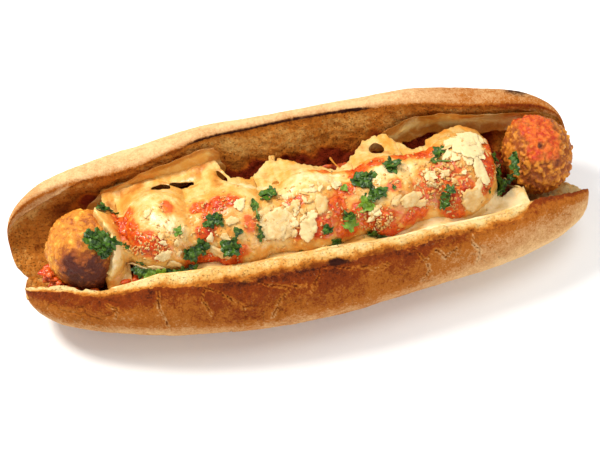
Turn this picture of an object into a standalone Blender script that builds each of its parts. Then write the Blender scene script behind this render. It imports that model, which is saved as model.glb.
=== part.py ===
"""Meatball submarine sandwich: a hinged roll, a row of meatballs in tomato sauce, melted cheese
over them, cheese slices lining the bread and large parmesan shavings on top.

Metres, +Z up. +X runs along the roll, +Y towards the taller (upper) half of the bread.
The origin is at the bottom centre of the whole sandwich, on the surface that it rests on.
All named sizes are in millimetres and are turned into metres when a mesh is made.
"""

import math

import bmesh
import bpy
import numpy as np
from mathutils import Vector, noise

MM = 0.001

# ---------------------------------------------------------------- driving sizes, in millimetres
CENTRE_SHIFT = (-3.75, -2.95, 0.0)  # brings the sandwich's own middle onto the origin

# lower (front) half of the bread: where its two tips lie along X, and its tip cores (y, z)
FRONT_TIPS = (-134.0, 145.5)
FRONT_TIP_CORES = ((-5.0, 23.0), (-13.0, 25.0))
FRONT_CORE = (-21.0, 24.0)
# upper (back) half
BACK_TIPS = (-138.0, 143.0)
BACK_TIP_CORES = ((17.0, 28.0), (19.0, 30.0))
BACK_CORE = (23.0, 29.0)

# how much the lower half's rim stands above its plain curve, as (x, height across the slope)
FRONT_RIM_LIFT = [(-140, 1.0), (-116, 1.4), (-98, -2.0), (-88, 0.4), (-70, 5.6), (-50, 5.4), (-24, 4.8), (22, 3.8), (46, 0.8), (96, 0.0), (118, 2.4), (146, 0.0)]

SINK = 1.2  # how much of the round belly is flattened by the bread's own weight

# Cross-sections at mid-length as (y, z): the inner face from its rim down to the hinge, then the
# belly and the crust back up to the rim.
FRONT_SECTION = [
    (-29.8, 42.2), (-27.4, 38.5), (-25.4, 32.5), (-23.2, 26.0), (-17.0, 18.2), (-6.0, 13.2),
    (6.0, 12.4), (15.0, 10.4), (16.5, 4.5), (10.0, -0.6), (-12.0, -1.2), (-28.0, 0.6),
    (-39.5, 6.5), (-47.0, 15.5), (-49.6, 25.5), (-47.6, 34.5), (-42.2, 41.2), (-36.2, 44.2),
    (-31.4, 44.0),
]
BACK_SECTION = [
    (46.0, 50.6), (42.6, 45.0), (38.2, 37.4), (32.6, 28.8), (25.2, 20.8), (14.0, 15.4),
    (2.0, 12.2), (-6.0, 9.2), (-7.0, 3.6), (-1.0, -0.8), (16.0, -1.2), (31.0, 1.6),
    (43.5, 9.0), (51.4, 20.0), (54.6, 32.0), (54.4, 42.0), (52.2, 48.6), (48.8, 51.9),
]

SECTION_POINTS = 28
STATIONS = 29

# filling
BALL_RADIUS = 19.6
BALLS = [  # x, y, z of the centre and the radii as shares of BALL_RADIUS
    (-101.4, 2.6, 37.2, 1.00, 1.04, 1.02),
    (-64.6, 1.8, 36.2, 0.95, 1.02, 0.99),
    (-28.6, -0.2, 35.2, 0.93, 0.99, 0.97),
    (7.6, -0.8, 35.0, 0.93, 1.01, 0.98),
    (43.8, -0.2, 35.4, 0.93, 0.99, 0.98),
    (80.6, 2.4, 37.0, 0.95, 1.00, 1.01),
    (121.8, 6.4, 39.6, 1.02, 1.05, 1.04),
]
PRESSED_IN = (0, 6)  # meatballs that dent the bread at the roll's narrow ends
GAP = 0.4  # clearance between touching pieces
CHEESE_T = 2.6  # melted cheese over the meatballs
CHEESE_ENDS = (-98.0, 100.0)
SLICE_T = 1.5  # cheese slice lining the bread
SLICE_LIFT = 0.7
SHAVING_T = 1.1
SHAVING_LIFT = 1.0

BREAD = (0.72, 0.40, 0.15)
MEAT = (0.46, 0.24, 0.09)
CHEESE = (0.94, 0.82, 0.58)
SAUCE = (0.66, 0.14, 0.03)
PARMESAN = (0.93, 0.84, 0.62)


# ---------------------------------------------------------------- small helpers
def smooth(t):
    t = min(max(t, 0.0), 1.0)
    return t * t * (3 - 2 * t)


def closed_curve(points, n):
    """n points evenly spaced along a closed Catmull-Rom curve through the given ones."""
    p = np.array(points, float)
    m = len(p)
    fine = []
    for i in range(m):
        a, b, c, d = p[(i - 1) % m], p[i], p[(i + 1) % m], p[(i + 2) % m]
        for k in range(12):
            t = k / 12.0
            fine.append(
                0.5 * ((2 * b) + (c - a) * t + (2 * a - 5 * b + 4 * c - d) * t * t + (3 * b - a - 3 * c + d) * t ** 3)
            )
    fine = np.array(fine)
    loop = np.vstack([fine, fine[:1]])
    length = np.concatenate([[0], np.cumsum(np.linalg.norm(np.diff(loop, axis=0), axis=1))])
    want = np.linspace(0, length[-1], n, endpoint=False)
    return np.stack([np.interp(want, length, loop[:, k]) for k in range(2)], axis=1)


def material(name, colour, roughness):
    m = bpy.data.materials.new(name)
    m.use_nodes = True
    b = m.node_tree.nodes["Principled BSDF"]
    b.inputs["Base Color"].default_value = (*colour, 1)
    b.inputs["Roughness"].default_value = roughness
    b.inputs["Metallic"].default_value = 0.0
    return m


def make_object(name, bm, mat):
    for v in bm.verts:
        v.co = Vector([(v.co[k] + CENTRE_SHIFT[k]) * MM for k in range(3)])
    bmesh.ops.recalc_face_normals(bm, faces=bm.faces)
    mesh = bpy.data.meshes.new(name)
    bm.to_mesh(mesh)
    bm.free()
    mesh.shade_smooth()
    obj = bpy.data.objects.new(name, mesh)
    bpy.context.scene.collection.objects.link(obj)
    mesh.materials.append(mat)
    return obj


def as_cutter(obj):
    obj.hide_render = True
    obj.display_type = "WIRE"
    return obj


def boolean(obj, other, operation):
    m = obj.modifiers.new(operation.lower() + "_" + other.name, "BOOLEAN")
    m.operation = operation
    m.object = other
    m.solver = "EXACT"


# ---------------------------------------------------------------- the bread
def end_taper(s, belly, power, root):
    """1 at mid-length, 0 at a tip: a slow narrowing times a blunt round end."""
    a = min(abs(s), 1.0)
    return (1 - belly * a * a) * max(0.0, 1 - a ** power) ** root


def half_section(section, s, tips, tip_cores, core, tapers, rise):
    """The section moved, narrowed and raised for the station s (-1 to 1)."""
    side = 0 if s < 0 else 1
    t = end_taper(s, *tapers[side])
    a = abs(s) ** 2.4
    cy = core[0] + (tip_cores[side][0] - core[0]) * a
    cz = core[1] + (tip_cores[side][1] - core[1]) * a
    x = (tips[0] + tips[1]) / 2 + s * (tips[1] - tips[0]) / 2
    out = []
    for y, z in section:
        yy = cy + (y - core[0]) * t
        zz = cz + (z - core[1]) * t
        yy, zz = rise(x, y, z, yy, zz, t)
        out.append((x, yy, zz - SINK * (1 - smooth((z + 2) / 30))))
    return out


def front_rise(x, y, z, yy, zz, t):
    """The lower half's rim is a little uneven, lifts towards +X and has a thinner wall towards -X."""
    rim = smooth((z - 26) / 18)
    zz += rim * (3.0 * smooth((x - 10) / 60) + 0.9 * math.sin(x / 21.0) + 0.5 * math.sin(x / 8.3 + 1.0))
    yy += rim * (1.6 * smooth((x - 10) / 60) + 0.7 * math.sin(x / 17.0 + 2.0))
    yy += 3.0 * math.exp(-(((x - 55) / 38) ** 2)) * smooth((-y - 24) / 14)
    thin = smooth((y + 40) / 10) * smooth((z - 12) / 10) * smooth((12 - y) / 12) * (1 - smooth((z - 33) / 9))
    yy -= 5.0 * smooth((-25 - x) / 55) * thin
    lift = float(np.interp(x, *zip(*FRONT_RIM_LIFT))) * smooth((z - 30) / 12)
    return yy + 0.63 * lift, zz + 0.9 * lift


def back_rise(x, y, z, yy, zz, t):
    """The upper half stands taller towards its ends, where its rim also curls over the filling."""
    rim = smooth((z - 34) / 16)
    curl = 6.5 * math.exp(-(((x + 78) / 42) ** 2)) + 7.0 * math.exp(-(((x - 96) / 48) ** 2))
    inner = smooth((56 - y) / 9)
    yy -= rim * inner * curl
    zz += rim * (0.8 * math.sin(x / 25.0 + 0.8) + 0.5 * math.sin(x / 9.5)) - rim * inner * 0.35 * curl
    tall = smooth((z - 4) / 40)
    hump = math.exp(-(((x + 40) / 24) ** 2))
    yy += tall * (2.8 * smooth((x - 10) / 70) + 1.8 * smooth((-30 - x) / 60) + 1.4 * hump)
    zz += tall * (5.6 * smooth((x - 10) / 70) + 3.2 * smooth((-30 - x) / 60) + 2.4 * hump)
    return yy, zz


FRONT_TAPERS = ((0.43, 12, 0.40), (0.50, 12, 0.45))
BACK_TAPERS = ((0.38, 10, 0.40), (0.40, 9, 0.42))


def inflated(profile, distance):
    """A closed profile moved outwards by a distance."""
    ahead, behind = np.roll(profile, -1, axis=0), np.roll(profile, 1, axis=0)
    d = ahead - behind
    normal = np.stack([d[:, 1], -d[:, 0]], axis=1)
    normal /= np.linalg.norm(normal, axis=1)[:, None]
    area = 0.5 * np.sum(profile[:, 0] * ahead[:, 1] - ahead[:, 0] * profile[:, 1])
    return profile + normal * distance * (1 if area > 0 else -1)


def loft_half(name, section, tips, tip_cores, core, tapers, rise, mat, grow=0.0):
    profile = closed_curve(section, SECTION_POINTS)
    if grow:
        profile = inflated(profile, grow)
    bm = bmesh.new()
    rings = []
    for k in range(1, STATIONS - 1):
        s = math.sin(math.pi / 2 * (2 * k / (STATIONS - 1) - 1))
        rings.append([bm.verts.new(p) for p in half_section(profile, s, tips, tip_cores, core, tapers, rise)])
    ends = [
        bm.verts.new((tips[0], *tip_cores[0])),
        bm.verts.new((tips[1], *tip_cores[1])),
    ]
    n = SECTION_POINTS
    for a, b in zip(rings, rings[1:]):
        for i in range(n):
            bm.faces.new((a[i], a[(i + 1) % n], b[(i + 1) % n], b[i]))
    for end, ring in zip(ends, (rings[0], rings[-1])):
        for i in range(n):
            bm.faces.new((end, ring[i], ring[(i + 1) % n]))
    bmesh.ops.triangulate(bm, faces=[f for f in bm.faces if len(f.verts) > 4])
    return make_object(name, bm, mat)


def block(name, low, high):
    bm = bmesh.new()
    bmesh.ops.create_cube(bm, size=1.0)
    for v in bm.verts:
        v.co = Vector([(low[k] + high[k]) / 2 + v.co[k] * (high[k] - low[k]) for k in range(3)])
    return as_cutter(make_object(name, bm, BREAD_MAT))


# ---------------------------------------------------------------- the meatballs
def lumpy(direction, seed):
    """A meatball's unevenness at a unit direction, about -1 to 1."""
    v = Vector(direction)
    return 0.7 * noise.noise(v * 1.6 + Vector((seed * 3.1, 0, 0))) + 0.3 * noise.noise(v * 3.4 + Vector((0, seed * 1.7, 0)))


def meatball(index, grow=0.0, flatten=True):
    x, y, z, rx, ry, rz = BALLS[index]
    bm = bmesh.new()
    bmesh.ops.create_icosphere(bm, subdivisions=3, radius=1.0)
    for v in bm.verts:
        d = v.co.normalized()
        lump = 1 + 0.035 * lumpy(d, index + 1)
        p = Vector((d.x * rx, d.y * ry, d.z * rz)) * BALL_RADIUS * lump
        if flatten and index > 0:
            p.x = max(p.x, (BALLS[index - 1][0] - x) / 2 + GAP / 2)
        if flatten and index < len(BALLS) - 1:
            p.x = min(p.x, (BALLS[index + 1][0] - x) / 2 - GAP / 2)
        p += p.normalized() * grow
        v.co = Vector((x, y, z)) + p
    return bm


# ---------------------------------------------------------------- cheese over the filling
def axis_at(x):
    """(y, z) of the line through the meatballs' centres."""
    xs = [b[0] for b in BALLS]
    return (
        float(np.interp(x, xs, [b[1] for b in BALLS])),
        float(np.interp(x, xs, [b[2] for b in BALLS])),
    )


def ball_reach(x):
    """How far the row of meatballs reaches from its axis at x."""
    best = 0.0
    for bx, _, _, rx, ry, rz in BALLS:
        r = BALL_RADIUS * max(ry, rz)
        u = (x - bx) / (BALL_RADIUS * rx * 1.02)
        if abs(u) < 1:
            best = max(best, r * 1.02 * math.sqrt(1 - u * u))
    return best


def drape(x):
    """Radius of the underside of melted cheese at x: it sags into the dips between meatballs."""
    near = max(ball_reach(x + dx) - 0.16 * dx * dx for dx in (-6, -4.5, -3, -1.5, 0, 1.5, 3, 4.5, 6))
    return max(near, 15.0)


def cheese_edges(x):
    """Angles, in degrees from straight up towards +Y, of the front and back edge of the melted cheese."""
    front = -102 + 7 * math.sin(x / 17.0) + 4 * math.sin(x / 7.1 + 1.3) + 26 * math.exp(-(((x + 66) / 15) ** 2))
    back = 52 + 7 * math.sin(x / 13.0 + 0.6)
    return front, back


def cheese_outer(x, degrees):
    front, back = cheese_edges(x)
    t = (degrees - front) / (back - front)
    edge = min(1.0, 5.0 * min(max(t, 0), max(1 - t, 0)))
    pool = 1.3 * math.exp(-(((degrees + 74) / 17) ** 2)) * smooth((x + 50) / 14) * smooth((34 - x) / 14)
    return drape(x) + GAP + CHEESE_T * (0.35 + 0.65 * math.sqrt(max(edge, 0.0))) + pool


def melted_cheese():
    nx, na = 33, 9
    bm = bmesh.new()
    grid = []
    for k in range(nx + 1):
        row = []
        for i in range(na + 1):
            x0 = CHEESE_ENDS[0] + 4.0 * math.sin(math.pi * i / na) - 1.5 * math.sin(3 * math.pi * i / na)
            x1 = CHEESE_ENDS[1] - 3.0 * math.sin(math.pi * i / na)
            x = x0 + (x1 - x0) * k / nx
            yc, zc = axis_at(x)
            front, back = cheese_edges(x)
            deg = front + (back - front) * i / na
            a = math.radians(deg)
            end = smooth(0.25 + 6 * min(k / nx, 1 - k / nx))
            inner = drape(x) + GAP
            outer = inner + (cheese_outer(x, deg) - inner) * end
            pair = []
            for r in (inner, outer):
                pair.append(bm.verts.new((x, yc + r * math.sin(a), zc + r * math.cos(a))))
            row.append(pair)
        grid.append(row)
    for k in range(nx):
        for i in range(na):
            for side in (0, 1):
                q = [grid[k][i][side], grid[k + 1][i][side], grid[k + 1][i + 1][side], grid[k][i + 1][side]]
                bm.faces.new(q if side else q[::-1])
    for k in range(nx):
        for i in (0, na):
            bm.faces.new((grid[k][i][0], grid[k + 1][i][0], grid[k + 1][i][1], grid[k][i][1]))
    for i in range(na):
        for k in (0, nx):
            bm.faces.new((grid[k][i][0], grid[k][i + 1][0], grid[k][i + 1][1], grid[k][i][1]))
    return make_object("melted_cheese", bm, CHEESE_MAT)


# ---------------------------------------------------------------- sauce under and between the meatballs
def sauce_bed():
    """A bed of sauce in the bottom of the roll, level at its top, with the meatballs pressed into it."""
    n, stations = 12, 22
    x0, x1 = -121.0, 122.0
    bm = bmesh.new()
    rings = []
    for k in range(stations + 1):
        x = x0 + (x1 - x0) * k / stations
        yc, zc = axis_at(x)
        e = end_taper(2 * k / stations - 1, 0.12, 8, 0.5)
        e = max(e, 0.12)
        half, top, floor = 19.0 * e, 24.0 + 1.2 * math.sin(x / 9.0), 17.4
        ring = []
        for i in range(n):
            a = 2 * math.pi * i / n
            c, s = math.cos(a), math.sin(a)
            yy = yc + 1.6 + half * math.copysign(abs(c) ** 0.7, c)
            mid, high = (top + floor) / 2, (top - floor) / 2
            rise = 3.4 * (abs(yy - yc - 1.6) / 19.0) ** 2
            ring.append(bm.verts.new((x, yy, mid + rise + high * e * math.copysign(abs(s) ** 0.7, s))))
        rings.append(ring)
    for a, b in zip(rings, rings[1:]):
        for i in range(n):
            bm.faces.new((a[i], a[(i + 1) % n], b[(i + 1) % n], b[i]))
    bm.faces.new(rings[0][::-1])
    bm.faces.new(rings[-1])
    return make_object("tomato_sauce", bm, SAUCE_MAT)


# ---------------------------------------------------------------- cheese slices on the bread's inner faces
def half_point(which, u, x):
    """A point on the inner face of one half and the direction into the hollow; u = 0 at the rim, 1 per section point."""
    section, tips, cores, core, tapers, rise = HALVES[which]
    mid, half = (tips[0] + tips[1]) / 2, (tips[1] - tips[0]) / 2
    pts = np.array([p[1:] for p in half_section(section, (x - mid) / half, tips, cores, core, tapers, rise)])
    i = min(int(u), len(pts) - 2)
    f = u - i
    p = pts[i] * (1 - f) + pts[i + 1] * f
    d = pts[i + 1] - pts[i]
    n = np.array((d[1], -d[0])) / np.linalg.norm(d)
    target = np.array(axis_at(x))
    if np.dot(n, target - p) < 0:
        n = -n
    return p, n


def bread_slice(name, which, x0, x1, u0, u1, wave):
    """A thin slice of cheese lying on the inner face of one half, between two places on its section."""
    nx, nu = 10, 4
    bm = bmesh.new()
    grid = []
    for k in range(nx + 1):
        x = x0 + (x1 - x0) * k / nx
        side = smooth(4 * min(k / nx, 1 - k / nx) + 0.15)
        row = []
        for i in range(nu + 1):
            top = u0 + wave * math.sin(x / 8.0 + u0)
            u = top + (u1 - top) * (0.5 + (i / nu - 0.5) * (0.55 + 0.45 * side))
            p, n = half_point(which, u, x)
            pair = []
            for lift in (SLICE_LIFT, SLICE_LIFT + SLICE_T * (0.55 + 0.45 * side)):
                q = p + n * lift
                pair.append(bm.verts.new((x, q[0], q[1])))
            row.append(pair)
        grid.append(row)
    for k in range(nx):
        for i in range(nu):
            for s in (0, 1):
                bm.faces.new([grid[k][i][s], grid[k + 1][i][s], grid[k + 1][i + 1][s], grid[k][i + 1][s]])
    for k in range(nx):
        for i in (0, nu):
            bm.faces.new((grid[k][i][0], grid[k + 1][i][0], grid[k + 1][i][1], grid[k][i][1]))
    for i in range(nu):
        for k in (0, nx):
            bm.faces.new((grid[k][i][0], grid[k][i + 1][0], grid[k][i + 1][1], grid[k][i][1]))
    return make_object(name, bm, CHEESE_MAT)


# ---------------------------------------------------------------- parmesan shavings
SHAVINGS = [  # x, degrees from straight up towards +Y, length, width, turn, seed
    (86.0, 13.0, 20.0, 15.0, 62.0, 1),
    (88.0, -27.0, 12.0, 6.0, 100.0, 2),
    (82.5, -58.0, 13.0, 10.5, 84.0, 3),
    (53.0, -38.0, 12.5, 7.0, 5.0, 4),
    (-12.0, -33.0, 17.0, 13.0, 50.0, 5),
    (2.5, -46.0, 12.0, 8.0, 70.0, 6),
    (10.5, -18.0, 9.5, 6.5, 80.0, 7),
    (-40.0, -62.0, 14.0, 5.0, -12.0, 8),
]


def shaving(number, x, degrees, length, width, turn, seed):
    """An irregular thin flake that lies on the melted cheese and follows it."""
    n, rings = 11, 2
    bm = bmesh.new()
    turn = math.radians(turn)

    def place(px, pa, lift):
        xx = x + px
        yc, zc = axis_at(xx)
        a = math.radians(degrees) + pa / (BALL_RADIUS + CHEESE_T + 1.5)
        r0 = max(cheese_outer(xx, math.degrees(a)), drape(xx) + GAP + CHEESE_T)
        r = r0 + SHAVING_LIFT + lift
        return (xx, yc + r * math.sin(a), zc + r * math.cos(a))

    layers = []
    for lift in (0.0, SHAVING_T):
        centre = bm.verts.new(place(0, 0, lift))
        loops = []
        for j in range(1, rings + 1):
            loop = []
            for i in range(n):
                a = 2 * math.pi * i / n
                wob = 1 + 0.16 * math.sin(3 * a + seed) + 0.10 * math.sin(5 * a + 2.3 * seed)
                e = j / rings
                u, v = math.cos(a) * length / 2 * wob * e, math.sin(a) * width / 2 * wob * e
                px = u * math.cos(turn) - v * math.sin(turn)
                pa = u * math.sin(turn) + v * math.cos(turn)
                loop.append(bm.verts.new(place(px, pa, lift)))
            loops.append(loop)
        for i in range(n):
            bm.faces.new((centre, loops[0][i], loops[0][(i + 1) % n]))
            for a, b in zip(loops, loops[1:]):
                bm.faces.new((a[i], a[(i + 1) % n], b[(i + 1) % n], b[i]))
        layers.append(loops[-1])
    for i in range(n):
        bm.faces.new((layers[0][i], layers[0][(i + 1) % n], layers[1][(i + 1) % n], layers[1][i]))
    return make_object(f"parmesan_shaving_{number}", bm, PARMESAN_MAT)


# ---------------------------------------------------------------- assembly
for old in list(bpy.data.objects):
    bpy.data.objects.remove(old)

BREAD_MAT = material("bread", BREAD, 0.75)
MEAT_MAT = material("meatball", MEAT, 0.7)
CHEESE_MAT = material("cheese", CHEESE, 0.4)
SAUCE_MAT = material("tomato_sauce", SAUCE, 0.35)
PARMESAN_MAT = material("parmesan", PARMESAN, 0.55)

HALVES = {
    "front": (FRONT_SECTION, FRONT_TIPS, FRONT_TIP_CORES, FRONT_CORE, FRONT_TAPERS, front_rise),
    "back": (BACK_SECTION, BACK_TIPS, BACK_TIP_CORES, BACK_CORE, BACK_TAPERS, back_rise),
}

roll = loft_half("roll", *HALVES["front"], BREAD_MAT)
upper = as_cutter(loft_half("upper_half", *HALVES["back"], BREAD_MAT))
boolean(roll, upper, "UNION")
boolean(roll, block("under_floor", (-200, -120, -30), (200, 120, 0)), "DIFFERENCE")
for i in PRESSED_IN:
    boolean(roll, as_cutter(make_object(f"dent_{i + 1}", meatball(i, grow=GAP, flatten=False), BREAD_MAT)), "DIFFERENCE")

for i in range(len(BALLS)):
    make_object(f"meatball_{i + 1}", meatball(i), MEAT_MAT)

sauce = sauce_bed()
for which in HALVES:
    boolean(sauce, as_cutter(loft_half(which + "_room", *HALVES[which], BREAD_MAT, grow=GAP + 0.2)), "DIFFERENCE")
for i in range(len(BALLS)):
    boolean(sauce, as_cutter(make_object(f"ball_room_{i + 1}", meatball(i, grow=GAP, flatten=False), MEAT_MAT)), "DIFFERENCE")

melted_cheese()
bread_slice("cheese_slice_back_left", "back", -112, -44, 0.45, 2.9, 0.12)
bread_slice("cheese_slice_back_right", "back", 52, 112, 0.6, 3.0, 0.12)
bread_slice("cheese_slice_front_left", "front", -84, -46, 0.3, 2.1, 0.08)
bread_slice("cheese_slice_front_right", "front", 40, 108, 0.05, 1.3, 0.06)

for number, row in enumerate(SHAVINGS, 1):
    shaving(number, *row)
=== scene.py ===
"""Looks of the meatball submarine sandwich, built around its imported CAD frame.

All shapes are worked out in millimetres in the part's own frame (+X along the roll, +Y towards the
taller half, +Z up) from the same named sizes as the CAD model, and shown in metres.
"""

import math

import bpy
import numpy as np
from mathutils import Matrix, Vector


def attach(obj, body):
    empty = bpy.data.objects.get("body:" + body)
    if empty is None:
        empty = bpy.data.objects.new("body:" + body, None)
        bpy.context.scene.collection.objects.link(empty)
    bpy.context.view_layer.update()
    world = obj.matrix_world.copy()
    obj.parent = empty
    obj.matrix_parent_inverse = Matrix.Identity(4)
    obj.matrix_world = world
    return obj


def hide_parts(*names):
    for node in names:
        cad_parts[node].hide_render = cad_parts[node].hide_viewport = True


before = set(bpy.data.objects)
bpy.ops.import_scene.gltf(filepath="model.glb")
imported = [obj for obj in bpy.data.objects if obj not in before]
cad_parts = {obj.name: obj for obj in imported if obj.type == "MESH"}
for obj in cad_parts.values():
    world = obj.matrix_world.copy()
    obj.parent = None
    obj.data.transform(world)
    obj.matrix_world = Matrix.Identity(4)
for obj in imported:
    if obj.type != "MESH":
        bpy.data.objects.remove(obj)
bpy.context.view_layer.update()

# ================================================================ sizes shared with the CAD model
SHIFT = np.array((-3.75, -2.95, 0.0))
FRONT_TIPS = (-134.0, 145.5)
FRONT_TIP_CORES = ((-5.0, 23.0), (-13.0, 25.0))
FRONT_CORE = (-21.0, 24.0)
BACK_TIPS = (-138.0, 143.0)
BACK_TIP_CORES = ((17.0, 28.0), (19.0, 30.0))
BACK_CORE = (23.0, 29.0)
FRONT_RIM_LIFT = [(-140, 1.0), (-116, 1.4), (-98, -2.0), (-88, 0.4), (-70, 5.6), (-50, 5.4), (-24, 4.8), (22, 3.8), (46, 0.8), (96, 0.0), (118, 2.4), (146, 0.0)]
SINK = 1.2
FRONT_SECTION = [
    (-29.8, 42.2), (-27.4, 38.5), (-25.4, 32.5), (-23.2, 26.0), (-17.0, 18.2), (-6.0, 13.2),
    (6.0, 12.4), (15.0, 10.4), (16.5, 4.5), (10.0, -0.6), (-12.0, -1.2), (-28.0, 0.6),
    (-39.5, 6.5), (-47.0, 15.5), (-49.6, 25.5), (-47.6, 34.5), (-42.2, 41.2), (-36.2, 44.2),
    (-31.4, 44.0),
]
BACK_SECTION = [
    (46.0, 50.6), (42.6, 45.0), (38.2, 37.4), (32.6, 28.8), (25.2, 20.8), (14.0, 15.4),
    (2.0, 12.2), (-6.0, 9.2), (-7.0, 3.6), (-1.0, -0.8), (16.0, -1.2), (31.0, 1.6),
    (43.5, 9.0), (51.4, 20.0), (54.6, 32.0), (54.4, 42.0), (52.2, 48.6), (48.8, 51.9),
]
FRONT_TAPERS = ((0.43, 12, 0.40), (0.50, 12, 0.45))
BACK_TAPERS = ((0.38, 10, 0.40), (0.40, 9, 0.42))
BALL_RADIUS = 19.6
BALLS = [
    (-101.4, 2.6, 37.2, 1.00, 1.04, 1.02),
    (-64.6, 1.8, 36.2, 0.95, 1.02, 0.99),
    (-28.6, -0.2, 35.2, 0.93, 0.99, 0.97),
    (7.6, -0.8, 35.0, 0.93, 1.01, 0.98),
    (43.8, -0.2, 35.4, 0.93, 0.99, 0.98),
    (80.6, 2.4, 37.0, 0.95, 1.00, 1.01),
    (121.8, 6.4, 39.6, 1.02, 1.05, 1.04),
]
CHEESE_ENDS = (-98.0, 100.0)


# ================================================================ numbers and noise
def S(t):
    t = np.clip(t, 0.0, 1.0)
    return t * t * (3 - 2 * t)


def bump(x, centre, width):
    return np.exp(-(((x - centre) / width) ** 2))


def _hash(ix, iy, iz, seed):
    a = (ix.astype(np.int64) & 0xFFFFFFFF).astype(np.uint64)
    b = (iy.astype(np.int64) & 0xFFFFFFFF).astype(np.uint64)
    c = (iz.astype(np.int64) & 0xFFFFFFFF).astype(np.uint64)
    h = (a * np.uint64(0x8DA6B343) + b * np.uint64(0xD8163841) + c * np.uint64(0xCB1AB31F) + np.uint64((seed * 2654435761) & 0xFFFFFFFF)) & np.uint64(0xFFFFFFFF)
    h ^= h >> np.uint64(15)
    h = (h * np.uint64(0x85EBCA6B)) & np.uint64(0xFFFFFFFF)
    h ^= h >> np.uint64(13)
    h = (h * np.uint64(0xC2B2AE35)) & np.uint64(0xFFFFFFFF)
    h ^= h >> np.uint64(16)
    return h


def perlin(p, scale, seed=0):
    """Gradient noise, about -1 to 1, at points (n, 3) in mm; scale is the size of its lumps in mm."""
    q = np.asarray(p, float) / scale
    i = np.floor(q)
    f = q - i
    w = f * f * f * (f * (f * 6 - 15) + 10)
    out = 0.0
    for dx in (0, 1):
        for dy in (0, 1):
            for dz in (0, 1):
                h = _hash(i[..., 0] + dx, i[..., 1] + dy, i[..., 2] + dz, seed)
                gx = ((h & np.uint64(1023)).astype(float) / 511.5) - 1
                gy = (((h >> np.uint64(10)) & np.uint64(1023)).astype(float) / 511.5) - 1
                gz = (((h >> np.uint64(20)) & np.uint64(1023)).astype(float) / 511.5) - 1
                d = gx * (f[..., 0] - dx) + gy * (f[..., 1] - dy) + gz * (f[..., 2] - dz)
                ww = (w[..., 0] if dx else 1 - w[..., 0]) * (w[..., 1] if dy else 1 - w[..., 1]) * (w[..., 2] if dz else 1 - w[..., 2])
                out = out + d * ww
    return out * 1.25


def fbm(p, scale, octaves=3, seed=0, gain=0.5):
    total, amp, norm = 0.0, 1.0, 0.0
    for k in range(octaves):
        total = total + amp * perlin(p, scale / 2.03 ** k, seed + 17 * k)
        norm += amp
        amp *= gain
    return total / norm


def cells(p, scale, seed=0):
    """Distances, in cell sizes, to the nearest and next nearest of randomly placed points, and the nearest's random number."""
    q = np.asarray(p, float) / scale
    i = np.floor(q)
    f = q - i
    f1 = np.full(q.shape[:-1], 9.0)
    f2 = np.full(q.shape[:-1], 9.0)
    ident = np.zeros(q.shape[:-1])
    for dx in (-1, 0, 1):
        for dy in (-1, 0, 1):
            for dz in (-1, 0, 1):
                h = _hash(i[..., 0] + dx, i[..., 1] + dy, i[..., 2] + dz, seed)
                px = dx + (h & np.uint64(1023)).astype(float) / 1023 - f[..., 0]
                py = dy + ((h >> np.uint64(10)) & np.uint64(1023)).astype(float) / 1023 - f[..., 1]
                pz = dz + ((h >> np.uint64(20)) & np.uint64(1023)).astype(float) / 1023 - f[..., 2]
                d = np.sqrt(px * px + py * py + pz * pz)
                r = ((h >> np.uint64(5)) & np.uint64(4095)).astype(float) / 4095
                near = d < f1
                f2 = np.where(near, f1, np.minimum(f2, d))
                ident = np.where(near, r, ident)
                f1 = np.where(near, d, f1)
    return f1, f2, ident


def xyz(*parts):
    return np.stack(np.broadcast_arrays(*parts), axis=-1).astype(float)


# ================================================================ meshes
def make_mesh(name, verts, faces, material, attrs=None, smooth=True):
    """verts (n, 3) in mm; faces an (m, 3) or (m, 4) array or a list of such arrays; attrs name -> (n,) values."""
    groups = faces if isinstance(faces, list) else [faces]
    groups = [np.asarray(g, np.int32) for g in groups if len(g)]
    me = bpy.data.meshes.new(name)
    co = (np.asarray(verts, float) + SHIFT) * 0.001
    me.vertices.add(len(co))
    me.vertices.foreach_set("co", co.ravel())
    loops = np.concatenate([g.ravel() for g in groups])
    totals = np.concatenate([np.full(len(g), g.shape[1], np.int32) for g in groups])
    starts = np.concatenate([[0], np.cumsum(totals)[:-1]]).astype(np.int32)
    me.loops.add(len(loops))
    me.loops.foreach_set("vertex_index", loops)
    me.polygons.add(len(totals))
    me.polygons.foreach_set("loop_start", starts)
    me.polygons.foreach_set("loop_total", totals)
    me.update(calc_edges=True)
    me.validate()
    if smooth:
        me.shade_smooth()
    for key, values in (attrs or {}).items():
        a = me.attributes.new(key, "FLOAT", "POINT")
        a.data.foreach_set("value", np.asarray(values, np.float32).ravel())
    me.materials.append(material)
    obj = bpy.data.objects.new(name, me)
    bpy.context.scene.collection.objects.link(obj)
    return obj


def place(obj, slot, *nodes):
    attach(obj, "root")
    if nodes:
        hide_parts(*nodes)
    return obj


def grid_faces(m, n, wrap=False, flip=False):
    a = np.arange(m * n).reshape(m, n)
    if wrap:
        b = np.roll(a, -1, axis=1)
        q = np.stack([a[:-1], b[:-1], b[1:], a[1:]], axis=-1).reshape(-1, 4)
    else:
        q = np.stack([a[:-1, :-1], a[:-1, 1:], a[1:, 1:], a[1:, :-1]], axis=-1).reshape(-1, 4)
    return q[:, ::-1] if flip else q


def grid_normals(p, wrap=False):
    du = np.gradient(p, axis=0)
    if wrap:
        dv = (np.roll(p, -1, axis=1) - np.roll(p, 1, axis=1)) / 2
    else:
        dv = np.gradient(p, axis=1)
    n = np.cross(dv, du)
    return n / np.maximum(np.linalg.norm(n, axis=-1, keepdims=True), 1e-9)


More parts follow.
